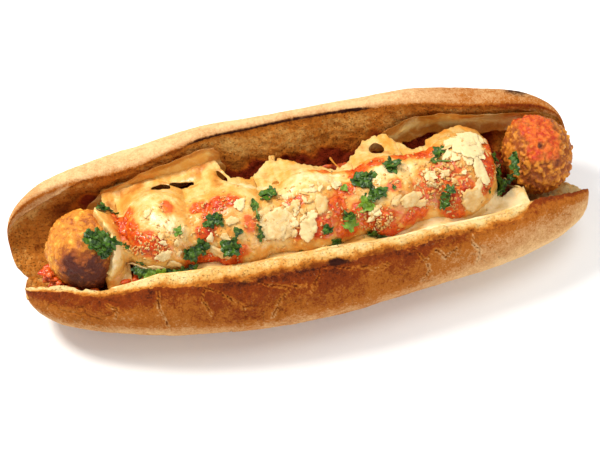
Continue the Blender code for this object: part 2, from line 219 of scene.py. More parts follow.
class Batch:
    """Many small sheets or grains joined into one mesh."""

    def __init__(self):
        self.v, self.f3, self.f4, self.a, self.n = [], [], [], {}, 0

    def add(self, verts, quads=None, tris=None, **attrs):
        if quads is not None and len(quads):
            self.f4.append(np.asarray(quads) + self.n)
        if tris is not None and len(tris):
            self.f3.append(np.asarray(tris) + self.n)
        self.v.append(np.asarray(verts, float))
        for k, val in attrs.items():
            self.a.setdefault(k, []).append(np.broadcast_to(np.asarray(val, float), (len(verts),)))
        self.n += len(verts)

    def build(self, name, material, smooth=True):
        faces = []
        if self.f4:
            faces.append(np.concatenate(self.f4))
        if self.f3:
            faces.append(np.concatenate(self.f3))
        return make_mesh(name, np.concatenate(self.v), faces, material, {k: np.concatenate(v) for k, v in self.a.items()}, smooth)


def sheet(u, v, mask, surface, thickness, extra=None):
    """A closed thin sheet over the part of a (u, v) grid where mask(u, v) > 0, its edge snapped onto mask = 0.

    surface(u, v) gives points, thickness(u, v, m) the two offsets along the normal; extra(u, v) extra attributes."""
    U, V = np.meshgrid(u, v, indexing="ij")
    M = mask(U, V)
    keep = (M[:-1, :-1] > 0) | (M[1:, :-1] > 0) | (M[:-1, 1:] > 0) | (M[1:, 1:] > 0)
    if not keep.any():
        return None
    used = np.zeros(M.shape, bool)
    used[:-1, :-1] |= keep
    used[1:, :-1] |= keep
    used[:-1, 1:] |= keep
    used[1:, 1:] |= keep
    hu, hv = (u[1] - u[0]) * 0.25, (v[1] - v[0]) * 0.25
    out = used & (M < 0)
    for _ in range(3):
        gu = (mask(U + hu, V) - mask(U - hu, V)) / (2 * hu)
        gv = (mask(U, V + hv) - mask(U, V - hv)) / (2 * hv)
        g2 = np.maximum(gu * gu + gv * gv, 1e-3)
        step_u = np.clip(-M * gu / g2, -1.5 * abs(4 * hu), 1.5 * abs(4 * hu))
        step_v = np.clip(-M * gv / g2, -1.5 * abs(4 * hv), 1.5 * abs(4 * hv))
        U = np.where(out, U + step_u, U)
        V = np.where(out, V + step_v, V)
        M = mask(U, V)
    P = surface(U, V)
    n = np.cross(surface(U + hu, V) - surface(U - hu, V), surface(U, V + hv) - surface(U, V - hv))
    n /= np.maximum(np.linalg.norm(n, axis=-1, keepdims=True), 1e-9)
    low, high = thickness(U, V, np.maximum(M, 0))
    ids = -np.ones(M.shape, int)
    ids[used] = np.arange(used.sum())
    k = int(used.sum())
    top = (P + n * np.broadcast_to(high, M.shape)[..., None])[used]
    bottom = (P + n * np.broadcast_to(low, M.shape)[..., None])[used]
    i, j = np.nonzero(keep)
    quad = np.stack([ids[i, j], ids[i + 1, j], ids[i + 1, j + 1], ids[i, j + 1]], axis=1)
    edges = np.concatenate([quad[:, [a, (a + 1) % 4]] for a in range(4)])
    key = np.sort(edges, axis=1)
    _, inverse, count = np.unique(key, axis=0, return_inverse=True, return_counts=True)
    rim = edges[count[np.ravel(inverse)] == 1]
    side = np.stack([rim[:, 1], rim[:, 0], rim[:, 0] + k, rim[:, 1] + k], axis=1)
    faces = np.concatenate([quad, quad[:, ::-1] + k, side])
    attrs = {"edge": np.tile(np.maximum(M, 0)[used], 2)}
    if extra:
        for key_, val in extra(U, V).items():
            attrs[key_] = np.tile(np.broadcast_to(val, M.shape)[used], 2)
    return np.concatenate([top, bottom]), faces, attrs


# ================================================================ surfaces shared by several pieces
def curve_points(points, where):
    """Points on the closed Catmull-Rom curve through the given ones, at curve positions counted in given points."""
    p = np.array(points, float)
    m = len(p)
    w = np.asarray(where, float)
    i = np.floor(w).astype(int)
    t = (w - i)[..., None]
    a, b, c, d = p[(i - 1) % m], p[i % m], p[(i + 1) % m], p[(i + 2) % m]
    return 0.5 * ((2 * b) + (c - a) * t + (2 * a - 5 * b + 4 * c - d) * t * t + (3 * b - a - 3 * c + d) * t ** 3)


def end_taper(s, tapers):
    a = np.minimum(np.abs(s), 1.0)
    out = []
    for belly, power, root in tapers:
        out.append((1 - belly * a * a) * np.maximum(0.0, 1 - a ** power) ** root)
    return np.where(s < 0, out[0], out[1])


def front_rise(x, y, z, yy, zz):
    rim = S((z - 26) / 18)
    zz = zz + rim * (3.0 * S((x - 10) / 60) + 0.9 * np.sin(x / 21.0) + 0.5 * np.sin(x / 8.3 + 1.0))
    yy = yy + rim * (1.6 * S((x - 10) / 60) + 0.7 * np.sin(x / 17.0 + 2.0))
    yy = yy + 3.0 * bump(x, 55, 38) * S((-y - 24) / 14)
    thin = S((y + 40) / 10) * S((z - 12) / 10) * S((12 - y) / 12) * (1 - S((z - 33) / 9))
    yy = yy - 5.0 * S((-25 - x) / 55) * thin
    knots = np.array(FRONT_RIM_LIFT, float)
    lift = np.interp(x, knots[:, 0], knots[:, 1]) * S((z - 30) / 12)
    return yy + 0.63 * lift, zz + 0.9 * lift


def back_rise(x, y, z, yy, zz):
    rim = S((z - 34) / 16)
    curl = 6.5 * bump(x, -78, 42) + 7.0 * bump(x, 96, 48)
    inner = S((56 - y) / 9)
    yy = yy - rim * inner * curl
    zz = zz + rim * (0.8 * np.sin(x / 25.0 + 0.8) + 0.5 * np.sin(x / 9.5)) - rim * inner * 0.35 * curl
    tall = S((z - 4) / 40)
    hump = bump(x, -40, 24)
    yy = yy + tall * (2.8 * S((x - 10) / 70) + 1.8 * S((-30 - x) / 60) + 1.4 * hump)
    zz = zz + tall * (5.6 * S((x - 10) / 70) + 3.2 * S((-30 - x) / 60) + 2.4 * hump)
    return yy, zz


HALVES = {
    "front": (FRONT_SECTION, FRONT_TIPS, FRONT_TIP_CORES, FRONT_CORE, FRONT_TAPERS, front_rise),
    "back": (BACK_SECTION, BACK_TIPS, BACK_TIP_CORES, BACK_CORE, BACK_TAPERS, back_rise),
}


def half_surface(which, x, w):
    """Points on one half of the bread at x along it and w around its section; x and w broadcast together."""
    section, tips, cores, core, tapers, rise = HALVES[which]
    x, w = np.broadcast_arrays(np.asarray(x, float), np.asarray(w, float))
    p = curve_points(section, w)
    y, z = p[..., 0], p[..., 1]
    s = (x - (tips[0] + tips[1]) / 2) / ((tips[1] - tips[0]) / 2)
    t = end_taper(s, tapers)
    a = np.minimum(np.abs(s), 1.0) ** 2.4
    cy = core[0] + (np.where(s < 0, cores[0][0], cores[1][0]) - core[0]) * a
    cz = core[1] + (np.where(s < 0, cores[0][1], cores[1][1]) - core[1]) * a
    yy = cy + (y - core[0]) * t
    zz = cz + (z - core[1]) * t
    yy, zz = rise(x, y, z, yy, zz)
    zz = zz - SINK * (1 - S((z + 2) / 30))
    return np.stack([x, yy, zz], axis=-1)


_bx = np.array([b[0] for b in BALLS])


def axis_at(x):
    return np.interp(x, _bx, [b[1] for b in BALLS]), np.interp(x, _bx, [b[2] for b in BALLS])


def ball_reach(x):
    best = np.zeros_like(np.asarray(x, float))
    for bx, _, _, rx, ry, rz in BALLS:
        r = BALL_RADIUS * max(ry, rz) * 1.02
        u = (x - bx) / (BALL_RADIUS * rx * 1.02)
        best = np.maximum(best, r * np.sqrt(np.maximum(0, 1 - u * u)))
    return best


_dx = np.linspace(-150, 160, 1241)
_dr = np.full_like(_dx, 0.0)
for _o in np.linspace(-6, 6, 25):
    _dr = np.maximum(_dr, ball_reach(_dx + _o) - (0.26 - 0.15 * S((_dx + 52) / 16)) * _o * _o)


def drape(x):
    return np.maximum(np.interp(x, _dx, _dr) - 2.2 * bump(x, -82.5, 2.6) - 0.0 * x - 0.5 * bump(x, -46.5, 2.4), np.interp(x, [-90, -82, -74, -60, -38], [11.0, 11.0, 14.0, 14.8, 16.2]))


def radial(x, deg, r):
    """The point at radius r from the meatballs' line, deg degrees from straight up towards +Y."""
    yc, zc = axis_at(x)
    a = np.radians(deg)
    return xyz(x, yc + r * np.sin(a), zc + r * np.cos(a))


def blob(x, deg, bx, bd, rx, rd, turn=0.0):
    """A soft spot at (bx, bd) on the filling, with half-widths in mm along x and along the arc: 1 at its middle, 0 at its edge."""
    u = x - bx
    v = np.radians(deg - bd) * 22.5
    c, s = math.cos(math.radians(turn)), math.sin(math.radians(turn))
    a, b = (u * c + v * s) / rx, (-u * s + v * c) / rd
    return 1 - np.sqrt(a * a + b * b)


# sauce that lies on the cheese: x, degrees, half-width along x, along the arc (mm), turn, height
SAUCE_SPOTS = [
    (-82, 22, 4.5, 7.5, 0, 1.5), (-80, -6, 4.0, 6.5, 10, 1.2), (-72, -36, 8.0, 5.5, -15, 1.1), (-77, -22, 3.5, 4.0, 0, 1.0),
    (-61, 9, 2.4, 3.2, 0, 0.2), (-45, 12, 4.5, 4.0, 0, 1.3), (-37, 8, 6.5, 4.5, 0, 1.4), (-30, 6, 4.0, 3.2, 0, 1.0),
    (-42, -12, 3.2, 6.0, 0, 1.2), (-45, -30, 3.6, 5.0, 0, 1.1), (-24, -28, 2.4, 3.2, 0, 0.2), (-33, -58, 5.0, 4.0, 0, 0.9),
    (-48, -78, 8.0, 5.0, 0, 1.2), (-37, -76, 5.0, 5.0, 0, 1.0), (-2, -10, 5.5, 3.4, 30, 0.6), (9, -46, 5.5, 5.0, 20, 1.0),
    (19, -24, 4.5, 6.0, 0, 1.1), (24, -2, 4.0, 4.5, 0, 0.8), (32, 28, 5.5, 5.5, 0, 0.9), (41, 29, 4.5, 3.2, 0, 0.8),
    (58, 40, 7.0, 4.0, 0, 0.8), (66, 32, 6.0, 4.0, 0, 0.7), (36, -54, 7.0, 5.5, 0, 1.3), (40, -76, 6.5, 5.0, 0, 1.2),
    (47, -12, 3.0, 2.6, 0, 0.2), (69, -17, 8.0, 6.5, 0, 0.7), (74, -52, 6.0, 7.0, 0, 0.9), (79, -42, 4.5, 5.0, 0, 0.6),
    (98, 22, 3.8, 9.0, 0, 0.9), (94, -22, 4.0, 8.0, 0, 0.9), (74, -76, 4.0, 3.6, 0, 0.7), (17, 44, 4.0, 3.0, 0, 0.4),
    (22, -57, 4.5, 5.0, 0, 1.0), (54, -61, 7.0, 4.0, 0, 0.9), (-2, -49, 3.0, 3.0, 0, 0.4), (91, -44, 4.0, 5.5, 0, 0.7),
    (28, -38, 4.0, 5.0, 0, 1.0), (62, -38, 3.5, 5.0, 0, 0.5),
]


def sauce_level(x, deg, p):
    """Height in mm of loose sauce above the cheese; below zero where there is none."""
    wob = 0.46 * perlin(p, 5.0, 41) + 0.38 * perlin(p, 2.3, 42) + 0.18 * perlin(p, 1.2, 43)
    best = np.full(np.shape(wob), -1.0)
    for bx, bd, rx, rd, turn, high in SAUCE_SPOTS:
        b = blob(x, deg, bx, bd, rx * 1.02, rd * 1.02, turn) + wob - 0.02
        best = np.maximum(best, np.where(b > 0, np.sqrt(np.maximum(b, 0)) * high * 1.15, b))
    return best


def cheese_edges(x):
    front = -102 + 7 * np.sin(x / 17.0) + 4 * np.sin(x / 7.1 + 1.3) + 24 * bump(x, -66, 15)
    back = 74 + 5 * np.sin(x / 13.0 + 0.6)
    return front, back


def cheese_radius(x, deg, p=None):
    """Outer radius of the melted cheese over the meatballs."""
    base = drape(x)
    swell = 19.2 * np.sqrt(np.maximum(0, 1 - ((x - 83.0) / 19.5) ** 2))
    base = np.where(x > 90, swell, np.maximum(base, np.where(x > 83, swell, 0)))
    base = np.maximum(base, 4.0)
    if p is None:
        p = radial(x, deg, base + 2.0)
    front, back = cheese_edges(x)
    t = (deg - front) / (back - front)
    edge = S(6.0 * np.minimum(t, 1 - t) + 0.05)
    start = -90.5 - 4.5 * bump(deg, -88, 26) - 4.5 * bump(deg, 28, 24)
    run = S((x - start + 2.4 * perlin(p, 7.0, 7) + 1.0 * perlin(p, 2.6, 9)) / 2.0) * S((CHEESE_ENDS[1] + 1.5 * perlin(p, 8.0, 8) - x) / 3.0)
    lumps = 1.0 * perlin(p, 15.0, 1) + 0.65 * perlin(p, 6.5, 2) + 0.30 * np.abs(perlin(p, 3.0, 3))
    pool = 1.2 * bump(deg, -74, 17) * S((x + 50) / 14) * S((34 - x) / 14)
    thick = (1.9 + lumps * 0.9) * (0.25 + 0.75 * edge) + pool
    return base + 0.15 + thick * run - 4.2 * (1 - run)


def top_radius(x, deg):
    """Radius of whatever is on top, cheese or sauce."""
    base = drape(x) + 2.0
    p = radial(x, deg, base)
    r = cheese_radius(x, deg, p)
    r = r + np.maximum(0, sauce_level(x, deg, p)) * 0.9
    return np.maximum(r, np.where(x < -60, ball_reach(x) * 0.972, 0))


def on_filling(x, deg, lift=0.0):
    """A point on top of the filling with its normal and two tangents: along x and up the arc."""
    x, deg = float(x), float(deg)
    e, d = 0.6, 1.5
    f = lambda a, b: radial(a, b, top_radius(np.array([a]), np.array([b])))[0]
    p = f(x, deg)
    tu = f(x + e, deg) - f(x - e, deg)
    tv = f(x, deg + d) - f(x, deg - d)
    n = np.cross(tu, tv)
    n = n / np.linalg.norm(n)
    out = p - radial(np.array([x]), np.array([deg]), np.array([0.0]))[0]
    if n @ out < 0:
        n = -n
    tu = tu - n * (tu @ n)
    tu /= np.linalg.norm(tu)
    tv = np.cross(n, tu)
    if tv[2] * math.cos(math.radians(deg)) < 0 and abs(deg) > 20 and deg < 0:
        pass
    return p + n * lift, n, tu, tv


# ================================================================ materials
def lin(r, g, b):
    """An sRGB colour given 0-255 as linear values."""
    out = []
    for c in (r, g, b):
        c = c / 255.0
        out.append(c / 12.92 if c <= 0.04045 else ((c + 0.055) / 1.055) ** 2.4)
    return tuple(out)


class Nodes:
    """Short names for building a procedural material."""

    def __init__(self, name):
        self.mat = bpy.data.materials.new(name)
        self.mat.use_nodes = True
        self.t = self.mat.node_tree
        self.bsdf = self.t.nodes["Principled BSDF"]
        coord = self.t.nodes.new("ShaderNodeTexCoord")
        self.co = coord.outputs["Object"]

    def _in(self, socket, value):
        if isinstance(value, bpy.types.NodeSocket):
            self.t.links.new(value, socket)
        elif isinstance(value, (tuple, list)) and len(value) == 3 and socket.type == "RGBA":
            socket.default_value = (*value, 1)
        else:
            socket.default_value = value

    def attr(self, name):
        n = self.t.nodes.new("ShaderNodeAttribute")
        n.attribute_name = name
        return n.outputs["Fac"]

    def noise(self, mm, detail=3.0, rough=0.5, distort=0.0, co=None):
        n = self.t.nodes.new("ShaderNodeTexNoise")
        self._in(n.inputs["Vector"], co or self.co)
        n.inputs["Scale"].default_value = 1000.0 / mm
        n.inputs["Detail"].default_value = detail
        n.inputs["Roughness"].default_value = rough
        n.inputs["Distortion"].default_value = distort
        return n.outputs["Fac"]

    def voronoi(self, mm, feature="F1", rand=1.0, co=None, out="Distance"):
        n = self.t.nodes.new("ShaderNodeTexVoronoi")
        n.feature = feature
        self._in(n.inputs["Vector"], co or self.co)
        n.inputs["Scale"].default_value = 1000.0 / mm
        n.inputs["Randomness"].default_value = rand
        return n.outputs[out]

    def math(self, op, a, b=0.0, clamp=False):
        n = self.t.nodes.new("ShaderNodeMath")
        n.operation = op
        n.use_clamp = clamp
        self._in(n.inputs[0], a)
        self._in(n.inputs[1], b)
        return n.outputs[0]

    def remap(self, v, a, b, c=0.0, d=1.0):
        n = self.t.nodes.new("ShaderNodeMapRange")
        n.interpolation_type = "SMOOTHSTEP"
        self._in(n.inputs["Value"], v)
        n.inputs["From Min"].default_value = a
        n.inputs["From Max"].default_value = b
        n.inputs["To Min"].default_value = c
        n.inputs["To Max"].default_value = d
        return n.outputs["Result"]

    def mix(self, fac, a, b, mode="MIX"):
        n = self.t.nodes.new("ShaderNodeMix")
        n.data_type = "RGBA"
        n.blend_type = mode
        n.clamp_factor = True
        self._in(n.inputs[0], fac)
        self._in(n.inputs[6], a)
        self._in(n.inputs[7], b)
        return n.outputs[2]

    def bump(self, height, mm, strength=1.0, normal=None):
        n = self.t.nodes.new("ShaderNodeBump")
        n.inputs["Strength"].default_value = strength
        n.inputs["Distance"].default_value = mm * 0.001
        self._in(n.inputs["Height"], height)
        if normal is not None:
            self._in(n.inputs["Normal"], normal)
        return n.outputs["Normal"]

    def set(self, **values):
        names = {"color": "Base Color", "rough": "Roughness", "normal": "Normal", "sss": "Subsurface Weight", "sss_scale": "Subsurface Scale",
                 "sss_radius": "Subsurface Radius", "coat": "Coat Weight", "coat_rough": "Coat Roughness", "spec": "Specular IOR Level",
                 "sheen": "Sheen Weight", "ior": "IOR"}
        for k, v in values.items():
            socket = self.bsdf.inputs[names[k]]
            if k == "sss_radius":
                socket.default_value = v
            else:
                self._in(socket, v)
        return self.mat


def bread_material():
    m = Nodes("bread")
    crust, tone, char, crack, stain, toast_and_hollow_shade = (m.attr(k) for k in ("crust", "tone", "char", "crack", "stain", "toast_and_hollow_shade"))
    wide, mid, fine, grain = m.noise(26, 3), m.noise(7, 4, 0.6), m.noise(2.0, 4, 0.65), m.noise(0.7, 3, 0.6)
    # crust: pale tan through golden and orange-brown to dark toasted; the paler crust low on the lower half is partly
    # painted reflection of the floor
    speck = m.noise(0.9, 5, 0.75)
    level = m.math("ADD", tone, m.math("MULTIPLY", m.math("SUBTRACT", wide, 0.5), 0.45))
    level = m.math("ADD", level, m.math("MULTIPLY", m.math("SUBTRACT", mid, 0.5), 0.45))
    level = m.math("ADD", level, m.math("MULTIPLY", m.math("SUBTRACT", fine, 0.5), 0.60))
    level = m.math("ADD", level, m.math("MULTIPLY", m.math("SUBTRACT", speck, 0.5), 0.85))
    col = m.mix(m.remap(level, -0.05, 0.35), lin(238, 196, 140), lin(208, 152, 96))
    col = m.mix(m.remap(level, 0.3, 0.58), col, lin(180, 102, 28))
    col = m.mix(m.remap(level, 0.58, 0.88), col, lin(134, 54, 6))
    col = m.mix(m.remap(level, 0.88, 1.25), col, lin(60, 19, 4))
    flour = m.remap(m.noise(1.4, 5, 0.7), 0.58, 0.72, 0.0, 0.45)
    col = m.mix(m.math("MULTIPLY", flour, m.remap(tone, 0.3, 0.7, 1.0, 0.25)), col, lin(252, 222, 170))
    # cracks painted dark brown: painted shade in the cracks
    col = m.mix(m.remap(m.math("ADD", crack, m.math("MULTIPLY", m.math("SUBTRACT", fine, 0.5), 0.7)), 0.28, 0.85, 0.0, 0.85), col, lin(96, 42, 12))
    # crumb: cream where fresh, golden and brown where toasted, darker with painted shade deeper in the hollow and
    # beside the first meatball, red-brown where sauce has soaked in
    toast = m.math("ADD", toast_and_hollow_shade, m.math("MULTIPLY", m.math("SUBTRACT", mid, 0.5), 0.55))
    toast = m.math("ADD", toast, m.math("MULTIPLY", m.math("SUBTRACT", fine, 0.5), 0.55))
    toast = m.math("ADD", toast, m.math("MULTIPLY", m.math("SUBTRACT", speck, 0.5), 0.5))
    crumb = m.mix(m.remap(toast, 0.0, 0.35), lin(246, 216, 150), lin(234, 178, 96))
    crumb = m.mix(m.remap(toast, 0.3, 0.62), crumb, lin(200, 120, 38))
    crumb = m.mix(m.remap(toast, 0.6, 1.0), crumb, lin(132, 60, 8))
    # small pores painted darker brown: painted shade in the holes
    pore = m.remap(m.voronoi(1.25), 0.05, 0.34, 1.0, 0.0)
    crumb = m.mix(m.math("MULTIPLY", pore, m.remap(toast, 0.1, 0.6, 0.12, 0.5)), crumb, lin(120, 58, 14))
    soaked = m.remap(m.math("ADD", stain, m.math("MULTIPLY", m.math("SUBTRACT", mid, 0.5), 0.6)), 0.3, 0.8)
    wet = m.mix(m.remap(m.math("ADD", stain, m.math("MULTIPLY", m.math("SUBTRACT", mid, 0.5), 0.5)), 0.55, 0.95), lin(206, 104, 18), m.mix(fine, lin(96, 20, 3), lin(156, 52, 8)))
    crumb = m.mix(soaked, crumb, wet)
    side = m.remap(m.math("ADD", crust, m.math("MULTIPLY", m.math("SUBTRACT", fine, 0.5), 0.35)), 0.40, 0.60)
    col = m.mix(side, crumb, col)
    burnt = m.remap(m.math("ADD", char, m.math("MULTIPLY", m.math("SUBTRACT", fine, 0.5), 0.8)), 0.35, 0.95)
    col = m.mix(burnt, col, lin(52, 18, 6))
    h_crust = m.math("ADD", m.math("MULTIPLY", speck, 0.9), m.math("MULTIPLY", fine, 0.7))
    h_crumb = m.math("SUBTRACT", m.math("MULTIPLY", speck, 1.2), m.math("MULTIPLY", pore, 1.0))
    n1 = m.bump(m.mix(side, h_crumb, h_crust), 0.9, 1.0)
    return m.set(color=col, rough=0.85, normal=n1, spec=0.14, sss=0.04, sss_scale=0.0015, sss_radius=(1.0, 0.5, 0.2))


def meat_material():
    m = Nodes("meatball")
    sear_and_shade, sauced, pit = m.attr("sear_and_shade"), m.attr("sauced"), m.attr("pit")
    wide, mid, fine = m.noise(9, 3), m.noise(3.2, 4, 0.65, 0.4), m.noise(1.0, 5, 0.7)
    level = m.math("ADD", sear_and_shade, m.math("MULTIPLY", m.math("SUBTRACT", wide, 0.5), 0.6))
    level = m.math("ADD", level, m.math("MULTIPLY", m.math("SUBTRACT", mid, 0.5), 0.8))
    level = m.math("ADD", level, m.math("MULTIPLY", m.math("SUBTRACT", fine, 0.5), 0.6))
    # pits between the lumps painted darker: painted shade in the crevices
    level = m.math("ADD", level, m.math("MULTIPLY", pit, 0.38))
    col = m.mix(m.remap(level, 0.0, 0.40), lin(240, 180, 66), lin(212, 130, 28))
    col = m.mix(m.remap(level, 0.38, 0.75), col, lin(154, 74, 8))
    col = m.mix(m.remap(level, 0.75, 1.2), col, lin(84, 27, 3))
    red = m.remap(m.math("ADD", sauced, m.math("MULTIPLY", m.math("SUBTRACT", mid, 0.5), 0.9)), 0.3, 0.75)
    col = m.mix(red, col, m.mix(m.remap(mid, 0.35, 0.65), lin(186, 46, 4), lin(224, 112, 26)))
    n1 = m.bump(m.math("ADD", mid, m.math("MULTIPLY", fine, 0.9)), 0.6, 1.0)
    return m.set(color=col, rough=m.remap(fine, 0.35, 0.65, 0.42, 0.7), normal=n1, spec=0.35, sss=0.05, sss_scale=0.002, sss_radius=(1.0, 0.35, 0.15), coat=0.08, coat_rough=0.25)


def cheese_material():
    m = Nodes("cheese")
    oil, toast = m.attr("oil"), m.attr("toast")
    wide, mid, fine = m.noise(14, 3), m.noise(4.5, 4, 0.6, 0.6), m.noise(1.3, 4, 0.6)
    level = m.math("ADD", oil, m.math("MULTIPLY", m.math("SUBTRACT", wide, 0.5), 0.55))
    level = m.math("ADD", level, m.math("MULTIPLY", m.math("SUBTRACT", mid, 0.5), 0.75))
    level = m.math("ADD", level, m.math("MULTIPLY", m.math("SUBTRACT", fine, 0.5), 0.3))
    col = m.mix(m.remap(level, -0.25, 0.05), lin(238, 210, 156), lin(226, 186, 112))
    col = m.mix(m.remap(level, 0.05, 0.32), col, lin(218, 160, 72))
    col = m.mix(m.remap(level, 0.26, 0.55), col, lin(216, 140, 50))
    col = m.mix(m.remap(level, 0.52, 0.95), col, lin(206, 88, 18))
    # browning; on the curtain it also carries painted shade towards the wall
    brown = m.remap(m.math("ADD", toast, m.math("MULTIPLY", m.math("SUBTRACT", mid, 0.5), 0.9)), 0.25, 0.85)
    col = m.mix(brown, col, m.mix(fine, lin(150, 74, 12), lin(206, 132, 46)))
    n1 = m.bump(m.math("ADD", m.math("MULTIPLY", mid, 0.8), m.math("MULTIPLY", fine, 0.4)), 0.6, 0.9)
    return m.set(color=col, rough=m.remap(mid, 0.3, 0.7, 0.28, 0.48), normal=n1, spec=0.45, sss=0.15, sss_scale=0.003, sss_radius=(1.0, 0.6, 0.25), coat=0.2, coat_rough=0.2)


def sauce_material():
    m = Nodes("tomato_sauce")
    thick = m.attr("thick")
    mid, fine, chunk = m.noise(3.4, 4, 0.6, 0.5), m.noise(1.1, 3, 0.6), m.voronoi(2.4)
    col = m.mix(m.remap(mid, 0.3, 0.7), lin(184, 40, 4), lin(222, 100, 22))
    col = m.mix(m.remap(thick, 0.0, 0.6, 0.85, 0.0), col, lin(226, 122, 34))
    col = m.mix(m.remap(chunk, 0.0, 0.3, 0.55, 0.0), col, lin(232, 124, 38))
    col = m.mix(m.remap(fine, 0.55, 0.75), col, lin(120, 14, 2))
    n1 = m.bump(m.math("ADD", mid, m.math("MULTIPLY", fine, 0.5)), 0.6, 0.8)
    return m.set(color=col, rough=m.remap(fine, 0.35, 0.7, 0.16, 0.36), normal=n1, spec=0.3, sss=0.05, sss_scale=0.003, sss_radius=(1.0, 0.25, 0.1), coat=0.15, coat_rough=0.15)


def dark_sauce_material():
    m = Nodes("sauce_with_painted_shade")
    mid, fine = m.noise(4.0, 4, 0.6, 0.5), m.noise(1.2, 3, 0.6)
    # dark red-brown: the sauce's own red, darkened as painted shade of the hollow under and behind the meatballs
    col = m.mix(m.remap(mid, 0.35, 0.65), lin(104, 20, 2), lin(206, 84, 14))
    n1 = m.bump(m.math("ADD", mid, m.math("MULTIPLY", fine, 0.5)), 0.6, 0.8)
    return m.set(color=col, rough=m.remap(fine, 0.35, 0.7, 0.35, 0.6), normal=n1, spec=0.25, coat=0.08, coat_rough=0.2)


def parmesan_material():
    m = Nodes("parmesan")
    warm, edge = m.attr("warm"), m.attr("edge")
    mid, fine = m.noise(3.0, 4, 0.6), m.noise(0.8, 4, 0.6)
    level = m.math("ADD", warm, m.math("MULTIPLY", m.math("SUBTRACT", mid, 0.5), 0.9))
    col = m.mix(m.remap(level, 0.1, 0.6), lin(232, 206, 150), lin(216, 166, 92))
    col = m.mix(m.remap(level, 0.6, 1.1), col, lin(222, 154, 78))
    n1 = m.bump(m.math("ADD", mid, m.math("MULTIPLY", fine, 0.7)), 0.35, 0.8)
    return m.set(color=col, rough=m.remap(fine, 0.3, 0.7, 0.42, 0.66), normal=n1, spec=0.4, sss=0.2, sss_scale=0.003, sss_radius=(1.0, 0.75, 0.45))


def parsley_material():
    m = Nodes("parsley")
    shade, vein = m.attr("shade"), m.attr("vein")
    mid, fine = m.noise(2.6, 3), m.noise(0.7, 3)
    col = m.mix(m.remap(mid, 0.35, 0.65), lin(24, 52, 6), lin(70, 106, 20))
    col = m.mix(m.remap(m.math("ADD", shade, m.math("MULTIPLY", m.math("SUBTRACT", fine, 0.5), 0.3)), 0.35, 0.9), col, lin(126, 162, 40))
    col = m.mix(m.remap(vein, 0.5, 1.0, 0.0, 0.55), col, lin(120, 150, 60))
    n1 = m.bump(m.math("ADD", mid, m.math("MULTIPLY", fine, 0.4)), 0.35, 0.8)
    return m.set(color=col, rough=m.remap(fine, 0.3, 0.7, 0.3, 0.5), normal=n1, spec=0.4, sss=0.06, sss_scale=0.001, sss_radius=(0.4, 1.0, 0.2))


BREAD = bread_material()
MEAT = meat_material()
CHEESE = cheese_material()
SAUCE = sauce_material()
DARK_SAUCE = dark_sauce_material()
PARMESAN = parmesan_material()
PARSLEY = parsley_material()


# ================================================================ bread
def stations(tips, middle, tail):
    mid, half = (tips[0] + tips[1]) / 2, (tips[1] - tips[0]) / 2
    cut = 0.94
    body = np.linspace(-cut, cut, middle)
    end = cut + (1 - cut) * np.sin(np.linspace(0, 1, tail + 1)[1:] * math.pi / 2) * 0.99995
    s = np.concatenate([-end[::-1], body, end])
    return mid + s * half


def spaced(section, n, weight):
    """n places around a closed section, packed closer where weight(w) is large."""
    w = np.linspace(0, len(section), 4001)
    p = curve_points(section, w)
    step = np.linalg.norm(np.diff(p, axis=0), axis=1)
    cost = np.concatenate([[0], np.cumsum(step * weight((w[1:] + w[:-1]) / 2))])
    arc = np.concatenate([[0], np.cumsum(step)])
    want = np.linspace(0, cost[-1], n, endpoint=False)
    ww = np.interp(want, cost, w)
    return ww, np.interp(ww, w, arc)


# surface cracks on the lower half's crust: lines of (x, place around the section)
CRACKS = [
    [(-73, 17.0), (-72, 16.2), (-73, 15.4), (-70, 14.6)],
    [(-54, 16.9), (-50, 16.3), (-44, 15.9), (-38, 15.4), (-34, 15.2)],
    [(-50, 16.3), (-53, 15.7), (-50, 15.1)],
    [(-30, 16.7), (-22, 16.1), (-12, 15.7), (-4, 15.6)],
    [(-12, 15.7), (-18, 15.1), (-22, 14.6)],
    [(-2, 16.9), (4, 16.5), (13, 16.2), (20, 15.9)],
    [(4, 16.5), (2, 15.9), (-2, 15.3)],
    [(44, 16.7), (50, 16.2), (54, 15.5), (60, 15.9), (64, 15.4), (70, 15.7)],
    [(54, 15.5), (56, 14.9), (52, 14.4)],
    [(80, 16.6), (78, 15.9), (82, 15.2), (80, 14.6)],
    [(-96, 16.4), (-92, 15.8), (-94, 15.2)],
    [(22, 16.0), (30, 15.7), (36, 15.9)],
]


def line_distance(x, s, line):
    best = np.full(x.shape, 1e9)
    for (x0, s0), (x1, s1) in zip(line, line[1:]):
        dx, ds = x1 - x0, s1 - s0
        t = np.clip(((x - x0) * dx + (s - s0) * ds) / (dx * dx + ds * ds), 0, 1)
        best = np.minimum(best, np.hypot(x - x0 - t * dx, s - s0 - t * ds))
    return best


def pores(p, size, seed, amount=0.5):
    """Round holes: 1 at the middle of a hole, 0 outside, over a share of the cells."""
    f1, _, ident = cells(p, size, seed)
    r = 0.18 + 0.42 * ident
    return np.where(ident > 1 - amount, np.maximum(0, 1 - (f1 / r) ** 2), 0.0)


